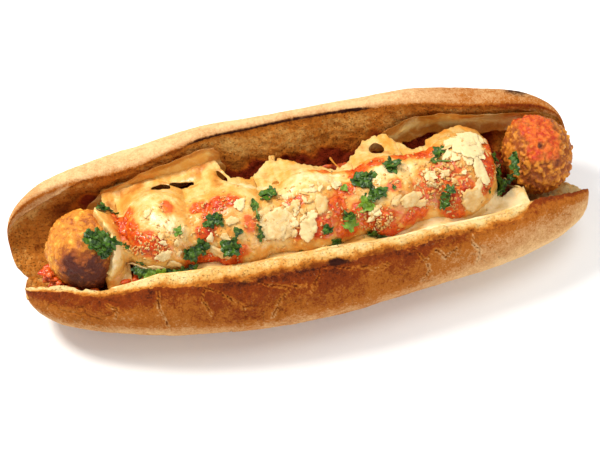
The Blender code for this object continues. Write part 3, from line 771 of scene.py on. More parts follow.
def bread_half(which, n, middle, tail):
    section, tips = HALVES[which][0], HALVES[which][1]
    if which == "front":
        weight = lambda w: np.where((w > 12.5) | (w < 1.5), 1.9, np.where((w > 8) & (w < 12.5), 0.8, 1.0))
    else:
        weight = lambda w: np.where((w > 15.0) | (w < 3.6), 1.9, np.where((w > 6) & (w < 12), 0.6, 1.0))
    w, arc = spaced(section, n, weight)
    xs = stations(tips, middle, tail)
    p = half_surface(which, xs[:, None], w[None, :])
    nrm = grid_normals(p, wrap=True)
    centre = p.mean(axis=1, keepdims=True)
    if np.mean(np.sum(nrm * (p - centre), axis=-1)) < 0:
        nrm = -nrm
    x = np.broadcast_to(xs[:, None], p.shape[:2])
    W = np.broadcast_to(w[None, :], p.shape[:2])
    A = np.broadcast_to(arc[None, :], p.shape[:2])
    count = len(section)
    if which == "front":
        line = 16.52 + 0.50 * S((-60 - x) / 25) + 0.20 * perlin(p, 9.0, 11) + 0.18 * perlin(p, 2.4, 12) + 2.1 * S((x - 104) / 14)
        crust = S((line - W) / 0.22 + 0.5) * S((W - 8.4) / 0.4)
        tip = S((x - 114) / 8)
        crust = np.maximum(crust, S((5.0 * tip - W) / 0.3 + 0.5) * tip * (W < 7))
        to_line = (line - W)
    else:
        limit = 0.15 + 1.2 * S((-96 - x) / 26) + 1.1 * S((x - 108) / 18)
        limit = limit + 0.16 * perlin(p, 7.0, 13) + 0.10 * perlin(p, 1.8, 14)
        turned = np.where(W < 9, W, W - count)
        crust = 1 - S((turned - limit) / 0.2 + 0.5)
        crust = np.where((W > 8.2), np.maximum(crust, S((W - 8.2) / 0.4)), crust)
        to_line = limit - turned
    crumb = 1 - crust
    # unevenness of the baked crust
    d = crust * (0.65 * perlin(p, 34.0, 21) + 0.34 * perlin(p, 11.0, 22) + 0.22 * fbm(p, 4.2, 3, 23) + 0.10 * perlin(p, 1.4, 24))
    if which == "front":
        crack = np.zeros(x.shape)
        lip = np.zeros(x.shape)
        per = float(arc[-1]) / count
        wig = 0.9 * perlin(p, 4.0, 31) + 0.5 * perlin(p, 1.7, 32)
        wig2 = 0.9 * perlin(p, 4.0, 33) + 0.5 * perlin(p, 1.7, 34)
        w_arc = np.interp(np.arange(count + 1), np.concatenate([w, [count]]), np.concatenate([arc, [arc[-1] + (arc[1] - arc[0])]]))
        for line_ in CRACKS:
            pts = [(a, float(np.interp(b, np.arange(count + 1), w_arc))) for a, b in line_]
            dist = line_distance(x + wig, A + wig2, pts)
            width = 0.24 + 0.2 * perlin(p, 7.0, 35)
            crack = np.maximum(crack, (0.74 + 0.6 * perlin(p, 6.0, 45)) * np.exp(-((dist / np.maximum(width, 0.16)) ** 2)))
            lip = np.maximum(lip, np.exp(-(((dist - 0.6) / 0.35) ** 2)))
        f1, f2, _ = cells(p * np.array((1, 1.0, 1.0)) + 1.6 * xyz(perlin(p, 6, 36), perlin(p, 6, 37), perlin(p, 6, 38)), 9.0, 39)
        net = np.exp(-(((f2 - f1) / 0.055) ** 2)) * S((perlin(p, 22.0, 40) + 0.15) / 0.5)
        crack = np.maximum(crack, 0.55 * net) * crust * S((W - 11) / 1.5)
        d = d - 0.95 * crack + 0.28 * lip * crust * (1 - crack)
    else:
        f1, f2, _ = cells(p + 1.2 * xyz(perlin(p, 5, 46), perlin(p, 5, 47), perlin(p, 5, 48)), 8.0, 49)
        crack = 0.5 * np.exp(-(((f2 - f1) / 0.05) ** 2)) * crust * S((perlin(p, 20.0, 50) + 0.1) / 0.5)
        d = d - 0.4 * crack
    # open crumb on the cut faces
    hole = np.maximum(pores(p, 2.6, 51, 0.55), 0.8 * pores(p, 1.5, 52, 0.6))
    big = pores(p, 6.5, 53, 0.28)
    d = d + crumb * (0.6 * fbm(p, 9.0, 2, 54) + 0.42 * perlin(p, 2.4, 55) + 0.2 * perlin(p, 1.3, 57) - 0.75 * hole - 1.3 * big)
    # the crust's cut edge stands a little proud of the crumb
    d = d + 0.45 * np.exp(-(((to_line - 0.05) / 0.16) ** 2)) * (1 + perlin(p, 3.0, 56))
    fade = S((1 - np.abs((x - (tips[0] + tips[1]) / 2) / ((tips[1] - tips[0]) / 2))) / 0.02)
    q = p + nrm * (d * (0.3 + 0.7 * fade))[..., None]
    q[..., 2] = np.maximum(q[..., 2], 0.0)
    # where the meatballs at the ends press in
    for i in (0, 6):
        bx, by, bz, rx, ry, rz = BALLS[i]
        c = np.array((bx, by, bz))
        rel = (q - c) / (np.array((rx, ry, rz)) * (BALL_RADIUS + 0.3))
        r = np.linalg.norm(rel, axis=-1)
        inside = r < 1
        q = np.where(inside[..., None], c + (q - c) / np.maximum(r, 0.05)[..., None], q)
    # colour masks
    v = 0.866 * p[..., 1] + 0.5 * p[..., 2]
    if which == "front":
        # the front crust darkens towards the rim: deeper baking there, and a paler lower crust that is partly painted
        # reflection of the floor
        tone = 0.24 + 0.34 * S((W - 13.6) / 1.3) + 0.34 * S((W - 15.0) / 1.5) + 0.10 * bump(x, 0, 70)
        tone = tone - 0.30 * S((x - 40) / 60) * S((17.6 - W) / 1.0) - 0.06 * S((x - 110) / 20)
        tone = np.where(W < 8, 0.50, tone + 0.03)
        tone = tone - 0.34 * lip * (1 - crack) * S((W - 11) / 1.5)
        char = 0.95 * bump(x, 7, 11) * bump(W, 16.6, 0.6) + 0.8 * bump(x, -30, 10) * bump(W, 16.4, 0.4) + 0.55 * bump(x, 44, 22) * bump(W, 16.4, 0.35)
        char = char * (0.6 + 0.9 * perlin(p, 5.0, 61)) + 0.42 * bump(W, line - 0.05, 0.26) * S(perlin(p, 14, 62) * 2 + 0.6) * S((100 - x) / 30)
        # crumb darkening: toasting along the crust edge, and painted shade further down the inner face, into the hollow
        toast_and_hollow_shade = np.where(W > 15, 0.12 + 0.26 * S((17.8 - W) / 1.2) + 0.22 * S((-80 - x) / 12) * S((x + 106) / 8) - 0.14 * S((-102 - x) / 8) - 0.12 * bump(x, -68, 30) + 0.16 * bump(x, -14, 50), 0.14 + 0.40 * S((W - 0.6) / 2.0)) + 0.25 * perlin(p, 9.0, 66) + 0.20 * perlin(p, 3.0, 68) + 0.42 * bump(W, line + 0.10, 0.30) - 0.35 * S((x - 106) / 10) * S((9 - W) / 2)
        stain = np.where(W > 15, 0.0, S((W - 3.0) / 1.2)) * S((x + 102) / 10) * S((112 - x) / 10)
    else:
        turned = np.where(W < 9, W, W - count)
        tone = 0.10 + 0.34 * S((x - 40) / 60) + 0.42 * bump(turned, 0.15, 0.32) + 0.3 * S((turned + 3) / -4.0)
        tone = tone + 0.25 * S((-108 - x) / 24)
        char = 1.0 * bump(turned, 0.12, 0.22) * S((x + 50) / 12) * S((60 - x) / 20) + 0.9 * bump(x, 122, 9) * bump(turned, -2.2, 1.0)
        char = char + 0.4 * bump(turned, 0.15, 0.25) * S(perlin(p, 12, 63) * 2)
        # crumb darkening: toasting by the rim, and painted shade lower down the wall and beside the first meatball at
        # the left end
        toast_and_hollow_shade = 0.50 + 0.22 * S((0.9 - turned) / 0.6) + 0.24 * S((turned - 1.8) / 1.0) + 0.2 * perlin(p, 14, 64) + 0.30 * bump(x, -100, 16) * S((turned - 1.2) / 1.2) - 0.16 * S((-110 - x) / 12)
        stain = S((turned - 1.9 + 0.6 * perlin(p, 9, 67)) / 1.0) * S((x + 116) / 20) * S((118 - x) / 15)
    attrs = {"crust": crust, "tone": tone, "char": char, "crack": crack, "stain": stain, "toast_and_hollow_shade": toast_and_hollow_shade}
    q[..., 0] = (q[..., 0] - 3.75) * 0.9978 + 3.75
    q[..., 1] = np.clip(q[..., 1], -49.0, 54.9)
    verts = q.reshape(-1, 3)
    m_, n_ = q.shape[:2]
    quads = grid_faces(m_, n_, wrap=True)
    ends = np.array([[tips[0], *HALVES[which][2][0]], [tips[1], *HALVES[which][2][1]]])
    ends[0, 0], ends[1, 0] = q[0, :, 0].mean() - 0.05, q[-1, :, 0].mean() + 0.05
    ends[0, 1:], ends[1, 1:] = q[0, :, 1:].mean(axis=0), q[-1, :, 1:].mean(axis=0)
    base = m_ * n_
    i = np.arange(n_)
    j = (i + 1) % n_
    cap0 = np.stack([np.full(n_, base), j, i], axis=1)
    cap1 = np.stack([np.full(n_, base + 1), (m_ - 1) * n_ + i, (m_ - 1) * n_ + j], axis=1)
    verts = np.concatenate([verts, ends])
    attrs = {k: np.concatenate([val.ravel(), val[0].mean(keepdims=True), val[-1].mean(keepdims=True)]) for k, val in attrs.items()}
    return verts, [quads, np.concatenate([cap0, cap1])], attrs


def outward(verts, faces):
    """Faces turned to point outwards, judged by the signed volume."""
    vol = 0.0
    for f in faces:
        a, b, c = verts[f[:, 0]], verts[f[:, 1]], verts[f[:, 2]]
        vol += np.sum(np.cross(a, b) * c)
        if f.shape[1] == 4:
            vol += np.sum(np.cross(a, c) * verts[f[:, 3]])
    return faces if vol > 0 else [f[:, ::-1] for f in faces]


for half_name, n_, middle_, tail_ in (("front", 164, 370, 24), ("back", 132, 320, 22)):
    v_, f_, a_ = bread_half(half_name, n_, middle_, tail_)
    piece = make_mesh("bread_" + half_name, v_, outward(v_, f_), BREAD, a_)
    place(piece, "bread", "roll")


# ================================================================ meatballs
def icosphere(level):
    import bmesh
    bm = bmesh.new()
    bmesh.ops.create_icosphere(bm, subdivisions=level, radius=1.0)
    v = np.array([x.co[:] for x in bm.verts])
    f = np.array([[x.index for x in g.verts] for g in bm.faces])
    bm.free()
    return v, f


SPHERES = {k: icosphere(k) for k in (2, 5, 6)}


def meatball(i):
    v, f = SPHERES[6 if i in (0, 6) else 5]
    bx, by, bz, rx, ry, rz = BALLS[i]
    seed = 100 + 10 * i
    size = BALL_RADIUS * np.array((rx, ry, rz))
    p = v * size
    low = 0.9 * perlin(p, 17.0, seed) + 0.5 * perlin(p, 8.0, seed + 1)
    warp = p + 1.3 * xyz(perlin(p, 5, seed + 2), perlin(p, 5, seed + 3), perlin(p, 5, seed + 4))
    coarse = {0: 1.15, 6: 1.3}.get(i, 1.0)
    f1, f2, ident = cells(warp, 2.9 * coarse, seed + 5)
    grain = S((f2 - f1) / 0.5) * (0.35 + 0.65 * ident)
    g1, g2, ident2 = cells(warp, 1.6 * coarse, seed + 6)
    crumbs = S((g2 - g1) / 0.5) * (0.3 + 0.7 * ident2)
    ridge = 1 - np.abs(fbm(warp, 5.0, 3, seed + 7)) * 3.0
    k = {0: 1.5, 6: 2.7}.get(i, 1.0)
    d = low - 0.85 * k + k * (0.42 * grain + 0.30 * crumbs + 0.42 * ridge + 0.12 * perlin(p, 0.9, seed + 8))
    # pit: the crevices between lumps, painted darker in the material as painted shade
    pit = np.clip(1 - grain - 0.5 * crumbs + 0.4 * (1 - ridge), 0, 1)
    normal = v / size
    normal /= np.linalg.norm(normal, axis=1, keepdims=True)
    q = p + normal * (d - 0.35)[:, None]
    if i > 0:
        q[:, 0] = np.maximum(q[:, 0], (BALLS[i - 1][0] - bx) / 2 + 0.2)
    if i < len(BALLS) - 1:
        q[:, 0] = np.minimum(q[:, 0], (BALLS[i + 1][0] - bx) / 2 - 0.2)
    deg = np.degrees(np.arctan2(v[:, 1], v[:, 2]))
    sear_and_shade = 0.28 + 0.2 * perlin(p, 12, seed + 9)
    sauced = np.zeros(len(v))
    if i == 0:
        # browned hard low on the front, golden on top
        low_front = S((-deg - 22 + 20 * perlin(p, 7.0, seed + 13)) / 34) * S((v[:, 0] + 0.85) / 0.4) * S((0.65 - v[:, 0]) / 0.4)
        sear_and_shade = sear_and_shade - 0.12 + 0.70 * low_front + 0.22 * perlin(p, 4.0, seed + 15) + 0.25 * bump(v[:, 0], -0.35, 0.2) * bump(deg, -38, 14)
        sauced = 0.5 * S((-deg - 88) / 20) + 0.35 * bump(v[:, 0], 0.25, 0.2) * bump(deg, -62, 16)
    elif i == 6:
        top = S((deg + 54) / 20) * S((0.66 - np.abs(v[:, 0] + 0.03)) / 0.3)
        sauced = 0.85 * top + 0.55 * perlin(p, 6.0, seed + 11) + 0.3 * perlin(p, 2.6, seed + 14) - 0.1
        sear_and_shade = sear_and_shade + 0.05 + 0.30 * perlin(p, 4.0, seed + 12)
        # a small dent in the sauce cap, painted dark: painted shade in the dent
        q -= normal * (1.1 * bump(np.hypot((v[:, 0] + 0.10) * 20, np.radians(deg + 18) * 20), 0, 1.8))[:, None]
        hollow_ = bump(np.hypot((v[:, 0] + 0.10) * 20, np.radians(deg + 18) * 20), 0, 1.8)
        pit = np.maximum(pit, hollow_)
        sear_and_shade = sear_and_shade + 0.9 * hollow_
        sauced = sauced - 0.8 * hollow_
    else:
        sauced = 0.25 + 0.5 * S((-deg - 70) / 30)
        sear_and_shade = sear_and_shade + 0.15
    if i == 6:
        q[:, 0] = np.where(q[:, 0] < 0, q[:, 0] * 0.84, q[:, 0])
    q = q + np.array((bx, by, bz))
    return make_mesh(f"meatball_{i + 1}_look", q, f, MEAT, {"sear_and_shade": sear_and_shade, "sauced": sauced, "pit": pit})


for i_ in range(len(BALLS)):
    place(meatball(i_), "meatball", f"meatball_{i_ + 1}")


# ================================================================ melted cheese over the filling
def oil_mask(x, deg, p):
    """How much orange oil and sauce has run into the cheese."""
    near = np.clip(sauce_level(x, deg, p) + 1.0, 0, 1) ** 2
    return 0.24 + 0.80 * near + 0.36 * perlin(p, 10, 71) + 0.26 * perlin(p, 4.0, 72)


def blanket():
    nx, nd = 390, 136
    xs = np.linspace(CHEESE_ENDS[0] - 4, CHEESE_ENDS[1] + 4, nx)
    t = np.linspace(0, 1, nd)
    X = np.broadcast_to(xs[:, None], (nx, nd))
    front, back = cheese_edges(X)
    D = front + (back - front) * t[None, :]
    p0 = radial(X, D, drape(X) + 2.0)
    R = cheese_radius(X, D, p0)
    # fine melt texture: stringy ripples and small blisters
    f1, f2, ident = cells(p0 + 1.0 * xyz(perlin(p0, 4, 75), perlin(p0, 4, 76), perlin(p0, 4, 77)), 5.0, 78)
    R = R + 0.38 * S(1 - f1 / 0.5) * (ident > 0.5) + 0.30 * (1 - 2.2 * np.abs(perlin(p0, 4.0, 83))) + 0.20 * perlin(p0, 1.9, 79) + 0.12 * perlin(p0, 1.0, 80)
    oil = oil_mask(X, D, p0)
    level = sauce_level(X, D, p0)
    R = R - 0.25 * S(level / 0.4)
    toast = 0.30 * S(perlin(p0, 9, 81) * 2 - 0.2) + 0.35 * S((D - 44) / 14) + 0.25 * S(perlin(p0, 3.5, 82) * 2 - 0.3)
    # pale fresh pools
    for bx, bd, rx, rd in ((4, 18, 16, 9), (51, 4, 8, 10), (-61, -20, 9, 9), (-17, 44, 10, 5), (-90, -36, 6, 16), (22, 20, 9, 7), (38, 12, 8, 6)):
        oil = oil - 0.32 * S(blob(X, D, bx, bd, rx, rd) * 2 + 0.3)
    P = radial(X, D, R)
    inner = radial(X, D, np.minimum(R - 1.0, np.maximum(drape(X) - 0.8, 6.0)))
    verts = np.concatenate([P.reshape(-1, 3), inner[[0, -1]].reshape(-1, 3), inner[:, [0, -1]].reshape(-1, 3)])
    quads = grid_faces(nx, nd)
    base = nx * nd
    a = np.arange(nd)
    r0, r1 = base + a, base + nd + a
    skirt0 = np.stack([a[:-1], r0[:-1], r0[1:], a[1:]], axis=1)
    top = (nx - 1) * nd + a
    skirt1 = np.stack([top[1:], r1[1:], r1[:-1], top[:-1]], axis=1)
    b = base + 2 * nd + 2 * np.arange(nx)
    c0, c1 = np.arange(nx) * nd, np.arange(nx) * nd + nd - 1
    skirt2 = np.stack([c0[1:], b[1:], b[:-1], c0[:-1]], axis=1)
    skirt3 = np.stack([c1[:-1], b[:-1] + 1, b[1:] + 1, c1[1:]], axis=1)
    extra = lambda v: np.concatenate([v.ravel(), v[0], v[-1], np.stack([v[:, 0], v[:, -1]], axis=1).ravel()])
    faces = np.concatenate([quads, skirt0, skirt1, skirt2, skirt3])
    n = np.cross(P[1, nd // 2] - P[0, nd // 2], P[0, nd // 2 + 1] - P[0, nd // 2])
    q = quads[len(quads) // 2]
    nn = np.cross(verts[q[1]] - verts[q[0]], verts[q[2]] - verts[q[0]])
    yc, zc = axis_at(verts[q[0]][0])
    if nn @ (verts[q[0]] - np.array((verts[q[0]][0], yc, zc))) < 0:
        faces = faces[:, ::-1]
    return make_mesh("melted_cheese_look", verts, faces, CHEESE, {"oil": extra(oil), "toast": extra(toast)})


place(blanket(), "cheese", "melted_cheese")


def loose_sauce():
    u = np.arange(CHEESE_ENDS[0] - 2, CHEESE_ENDS[1] + 6, 0.5)
    v = np.arange(-104, 62, 1.25)

    def surface(x, deg):
        return radial(x, deg, cheese_radius(x, deg, radial(x, deg, drape(x) + 2.0)))

    def mask(x, deg):
        return sauce_level(x, deg, radial(x, deg, drape(x) + 2.0)) * 2.0

    def thickness(x, deg, m):
        p = radial(x, deg, drape(x) + 2.0)
        f1, f2, ident = cells(p, 2.6, 91)
        chunk = 0.75 * S(1 - f1 / 0.62) * ident + 0.25 * perlin(p, 1.3, 92)
        return -0.6 + 0 * m, np.minimum(m * 0.5, 1.6) * 0.8 + chunk * S(m / 0.8) - 0.05

    made = sheet(u, v, mask, surface, thickness, lambda x, deg: {"thick": np.clip(mask(x, deg) * 0.5, 0, 2)})
    verts, quads, attrs = made
    c = np.array([(verts[q[0]] + verts[q[2]]) / 2 for q in quads[:50]])
    return make_mesh("sauce_on_cheese", verts, outward(verts, [quads]), SAUCE, attrs)


place(loose_sauce(), "tomato_sauce")


# ================================================================ sauce bed in the bottom of the roll and at its ends
def sauce_bed():
    nx, nv = 220, 46
    xs = np.linspace(-116, 120, nx)
    vs = np.linspace(-1, 1, nv)
    X = np.broadcast_to(xs[:, None], (nx, nv))
    V = np.broadcast_to(vs[None, :], (nx, nv))
    yc, zc = axis_at(X)
    e = np.maximum(end_taper((X - 2.0) / 119.0, ((0.3, 8, 0.5), (0.3, 8, 0.5))), 0.12)
    half = 25.0 * e
    y = yc + 3.0 + half * V
    z = 20.0 + np.where(V < 0, 4.0, 12.0) * np.abs(V) ** 2.0 * e ** 2 + 0 * X
    p = xyz(X, y, z)
    f1, f2, ident = cells(p, 3.4, 95)
    z = z + 1.2 * perlin(p, 9, 96) + 1.0 * perlin(p, 3.5, 97) + 1.4 * S(1 - f1 / 0.6) * ident + 0.4 * perlin(p, 1.6, 94)
    z = np.minimum(z, 34.0)
    p = xyz(X, y, z)
    low = p.copy()
    low[..., 2] -= 4.0
    verts = np.concatenate([p.reshape(-1, 3), low.reshape(-1, 3)])
    top = grid_faces(nx, nv)
    k = nx * nv
    a = np.arange(k).reshape(nx, nv)
    sides = []
    for line in (a[0], a[-1][::-1], a[:, 0][::-1], a[:, -1]):
        sides.append(np.stack([line[1:], line[:-1], line[:-1] + k, line[1:] + k], axis=1))
    faces = np.concatenate([top, top[:, ::-1] + k, *sides])
    return make_mesh("sauce_bed_look", verts, outward(verts, [faces]), DARK_SAUCE)


place(sauce_bed(), "tomato_sauce", "tomato_sauce")


def sauce_dollops():
    """Loose lumps of sauce by the first meatball, in the gap behind it and along the lower half's wall."""
    b = Batch()
    rng = np.random.default_rng(5)
    v, f = SPHERES[2]
    import_v, import_f = icosphere(3)
    spots = []
    for _ in range(26):
        t = rng.random()
        spots.append((-120 + 18 * t + rng.normal(0, 1.0), -15.5 - 3.0 * t + rng.normal(0, 1.0), 31.0 + 3.0 * (1 - t) + rng.normal(0, 0.8), rng.uniform(1.1, 2.4)))
    side, rise, out = np.array((0.976, -0.216, 0.0)), np.array((0.187, 0.845, 0.5)), np.array((-0.108, -0.488, 0.866))
    for _ in range(80):
        turn, lean = math.radians(rng.uniform(204, 262)), math.radians(rng.uniform(-8, 20))
        on = np.array(BALLS[0][:3]) + (20.2 + 3.2 * rng.random() ** 2) * (math.cos(lean) * (math.cos(turn) * side + math.sin(turn) * rise) + math.sin(lean) * out)
        spots.append((*on, rng.uniform(0.8, 1.8)))
    for _ in range(14):
        spots.append((-82 + rng.normal(0, 2.6), -17.5 + rng.normal(0, 1.5), 36 + rng.normal(0, 1.4), rng.uniform(0.9, 2.0)))
    for k, (x, y, z, r) in enumerate(spots):
        d = 1 + 0.32 * perlin(import_v * 2.0 + k * 7.0, 1.3, 98)
        stretch = np.array((rng.uniform(1.0, 2.4), rng.uniform(0.8, 1.2), rng.uniform(0.5, 0.8)))
        b.add(import_v * d[:, None] * stretch * r + np.array((x, y, z)), tris=import_f, thick=1.0)
    return b.build("sauce_lumps", SAUCE)


place(sauce_dollops(), "tomato_sauce")


# ================================================================ cheese slices on the bread and cheese strings
def wall_slice(name, which, x0, x1, w0, w1, seed, oil, toast, lift=0.45, thick=1.7, droop=0.0, feather=4.0, taper=0.0):
    """A half-melted slice on the inner face of one half; w0 is its edge near the rim and w1 its lower edge."""
    u = np.arange(x0 - 9, x1 + 9, 0.6)
    per = 8.2
    v = np.arange(w0 - 1.0, w1 + 1.1, 0.075)

    def mask(x, w):
        p = half_surface(which, x, w)
        wob = 3.0 * perlin(p, 14.0, seed) + 1.3 * perlin(p, 4.5, seed + 1)
        soft = 0.5 if which == "back" else 1.0
        ends = np.minimum(x - x0, x1 - x) * soft
        rise = (w1 - w0) * 0.8 * S(1 - (x - x0) / taper) if taper else 0.0
        lower = (w1 - w) * per + droop * perlin(xyz(x, 0 * x, 0 * x), 16.0, seed + 2) * 3
        return np.minimum(np.minimum(ends, (w - w0 - rise) * per), lower) + wob

    def thickness(x, w, m):
        p = half_surface(which, x, w)
        edge = S(m / feather)
        lump = 0.45 * perlin(p, 7.0, seed + 3) + 0.25 * perlin(p, 2.6, seed + 4) + (0.15 if which == "back" else 0.6) * bump((w1 - w) * per, 2.5, 2.0)
        return -2.6 + 0 * m, -2.2 + edge * (thick + 0.45 * lump + 2.1)

    def surface(x, w):
        return half_surface(which, x, w)

    def extra(x, w):
        p = half_surface(which, x, w)
        m = mask(x, w)
        return {"oil": oil + 0.3 * perlin(p, 11, seed + 5), "toast": toast + 0.55 * perlin(p * np.array((0.35, 1, 1)), 5.0, seed + 6) + (0.8 if which == "back" else 0.1) * S(1 - m / 8.0)}

    verts, quads, attrs = sheet(u, v, mask, surface, thickness, extra)
    # the sheet's normal must point off the bread, into the hollow
    k = len(verts) // 2
    mid = verts[:k].mean(axis=0)
    yc, zc = axis_at(mid[0])
    if np.mean((verts[:k] - verts[k:]) @ (np.array((mid[0], yc, zc + 6)) - mid)) < 0:
        span = verts[:k] - verts[k:]
        verts = np.concatenate([verts[:k] - 2 * span * 0.62, verts[k:]])
    return make_mesh(name, verts, outward(verts, [quads]), CHEESE, attrs)


place(wall_slice("cheese_back_left_look", "back", -98, -30, 0.75, 3.1, 200, 0.20, 0.02, thick=0.1, droop=0.8, feather=9.0, taper=30.0), "cheese", "cheese_slice_back_left")
place(wall_slice("cheese_back_right_look", "back", 40, 128, 0.75, 3.0, 210, 0.08, 0.10, thick=0.1, droop=0.5, feather=9.0, taper=46.0), "cheese", "cheese_slice_back_right")
place(wall_slice("cheese_front_left_look", "front", -96, -42, -0.45, 2.6, 220, 0.12, -0.1, thick=0.7, feather=4.0), "cheese", "cheese_slice_front_left")
place(wall_slice("cheese_front_right_look", "front", 37, 112, -1.0, 1.8, 230, -0.10, -0.5, thick=0.9, feather=3.0), "cheese", "cheese_slice_front_right")


def strings():
    """Cheese pulled between the filling and the taller half: a torn curtain with holes."""
    b = Batch()
    tops = np.array([(-106, 0.5), (-98, 1.0), (-40, 1.0), (-34, 0.95), (-31, 0.7), (-27, 0.36), (-21, 0.22), (-18, 0.28), (-14, 0.46), (-10, 0.62), (-6, 0.72), (-2, 0.68), (3, 0.54),
                     (8, 0.36), (14, 0.22), (26, 0.16), (31, 0.30), (36, 0.50), (40, 0.66), (45, 0.76), (51, 0.76), (56, 0.62), (60, 0.42), (62, 0.24), (68, 0.26), (74, 0.38), (80, 0.52), (86, 0.62), (93, 0.66), (99, 0.52), (110, 0.2)])
    holes = [(-61, 0.42, 4.8, 2.0, 6), (-51, 0.52, 6.0, 1.1, -4), (-31.0, 0.42, 3.4, 1.2, -48), (46.0, 0.40, 3.6, 2.6, 0),  (66, 0.1, 0.1, 0.1, 0)]
    span = 13.0

    def ends(x):
        a = radial(x, 46 + 0 * x, cheese_radius(x, 46 + 0 * x) - 0.9)
        w = np.interp(x, [-104, -70, -36, -20, 20, 36, 56, 70, 100], [2.3, 2.15, 1.9, 1.85, 1.9, 2.0, 2.1, 2.3, 2.3])
        return a, half_surface("back", x, w)

    def surface(x, t):
        a, c = ends(x)
        tt = t[..., None]
        q = a * (1 - tt) + c * tt
        q[..., 2] -= 2.2 * np.sin(np.pi * np.clip(t, 0, 1)) * (1 + 0.3 * np.sin(x / 5.0))
        q[..., 2] += 0.5 * perlin(q, 5.0, 301)
        q[..., 1] += 0.6 * perlin(q, 6.0, 302)
        return q

    def mask(x, t):
        q = xyz(x, t * span, 0 * x)
        wob = 1.5 * perlin(q, 5.0, 303) + 1.0 * perlin(q, 2.0, 304) + 0.4 * perlin(q, 1.0, 312)
        m = (np.interp(x, tops[:, 0], tops[:, 1]) * 1.06 - t) * span + wob
        m = np.minimum(m, np.minimum(x + 90, 99 - x) + wob)
        for hx, ht, rx, rt, turn in holes:
            c, s = math.cos(math.radians(turn)), math.sin(math.radians(turn))
            du, dv = x - hx, (t - ht) * span
            a, b_ = (du * c + dv * s) / rx, (-du * s + dv * c) / rt
            m = np.minimum(m, (np.sqrt(a * a + b_ * b_) - 1) * min(rx, rt) + 0.25 * perlin(q, 2.0, 305))
        return m

    def thickness(x, t, m):
        e = np.sqrt(np.clip(m / 1.2, 0, 1))
        q = xyz(x, t * span, 0 * x)
        strings_ = perlin(xyz(x + 1.5 * perlin(q, 6.0, 309), t * span * 0.22, 0 * x), 1.6, 310)
        th = e * np.maximum(0.25, 0.6 + 0.5 * (1 - t) + 0.3 * perlin(q, 3.5, 306) + 0.25 * strings_) + 0.04
        return -th, th

    def extra(x, t):
        q = xyz(x, t * span, 0 * x)
        # oil colour and browning rise towards the wall and at the left end: painted shade on the curtain, on top of its
        # uneven browning
        return {"oil": 0.10 + 0.04 * S((-30 - x) / 8) + 0.22 * S((x - 66) / 8) + 0.45 * perlin(q, 8, 307) + 0.10 * t + 0.18 * perlin(xyz(x, t * span * 0.22, 0 * x), 2.4, 311), "toast": 0.12 + 0.20 * t + 0.6 * perlin(q, 6, 308) + 0.16 * S((-30 - x) / 8)}

    def apron(x, t):
        a = radial(x, -86 + 0 * x, cheese_radius(x, -86 + 0 * x) - 0.8)
        c = half_surface("front", x, np.interp(x, [-96, -60, 0, 40, 100], [1.2, 1.0, 0.9, 0.8, 0.9]))
        tt = t[..., None]
        q = a * (1 - tt) + c * tt
        q[..., 2] -= (2.0 + 0.8 * np.sin(x / 6.0)) * np.sin(np.pi * np.clip(t, 0, 1))
        q[..., 2] += 1.0 * perlin(q, 6.0, 351) + 0.55 * perlin(q * np.array((0.5, 1, 1)), 2.4, 352) + 0.2 * perlin(q, 1.2, 357)
        return q

    def apron_mask(x, t):
        q = xyz(x, t * 10, 0 * x)
        gap = 8.0 * bump(x, 22, 5) + 4.0 * bump(x, -50, 4) + 14.0 * bump(x, -81, 3.5)
        low = np.where(x > 92, (t - 0.62 * S((x - 93) / 7)) * 24 + 30 * S((100 - x) / 6), 30.0)
        return np.minimum(np.minimum(np.minimum(x + 94, 112 - x), low), 12.0 - gap - 9.0 * bump(t, 0.4, 0.25) * S(perlin(q, 9.0, 353) * 3 - 1.2)) + 1.5 * perlin(q, 5.0, 354)

    def apron_extra(x, t):
        q = xyz(x, t * 10, 0 * x)
        return {"oil": 0.12 - 0.22 * S((x - 30) / 10) + 0.38 * perlin(q, 9, 355) + 0.3 * bump(x, -88, 10), "toast": 0.10 - 0.25 * S((x - 30) / 10) + 0.55 * perlin(q, 5, 356)}

    verts, quads, attrs = sheet(np.arange(-97, 115, 0.55), np.linspace(-0.1, 1.1, 26), apron_mask, apron, lambda x, t, m: (-1.2 + 0 * m, 0.1 + 0.7 * np.sqrt(np.clip(m / 2.0, 0, 1))), apron_extra)
    attrs.pop("edge", None)
    k = len(verts) // 2
    if np.mean(verts[:k, 2] - verts[k:, 2]) < 0:
        verts = np.concatenate([verts[k:], verts[:k]])
    b.add(verts, quads=outward(verts, [quads])[0], **attrs)

    verts, quads, attrs = sheet(np.arange(-106, 106, 0.48), np.linspace(-0.06, 1.06, 42), mask, surface, thickness, extra)
    attrs.pop("edge", None)
    b.add(verts, quads=outward(verts, [quads])[0], **attrs)

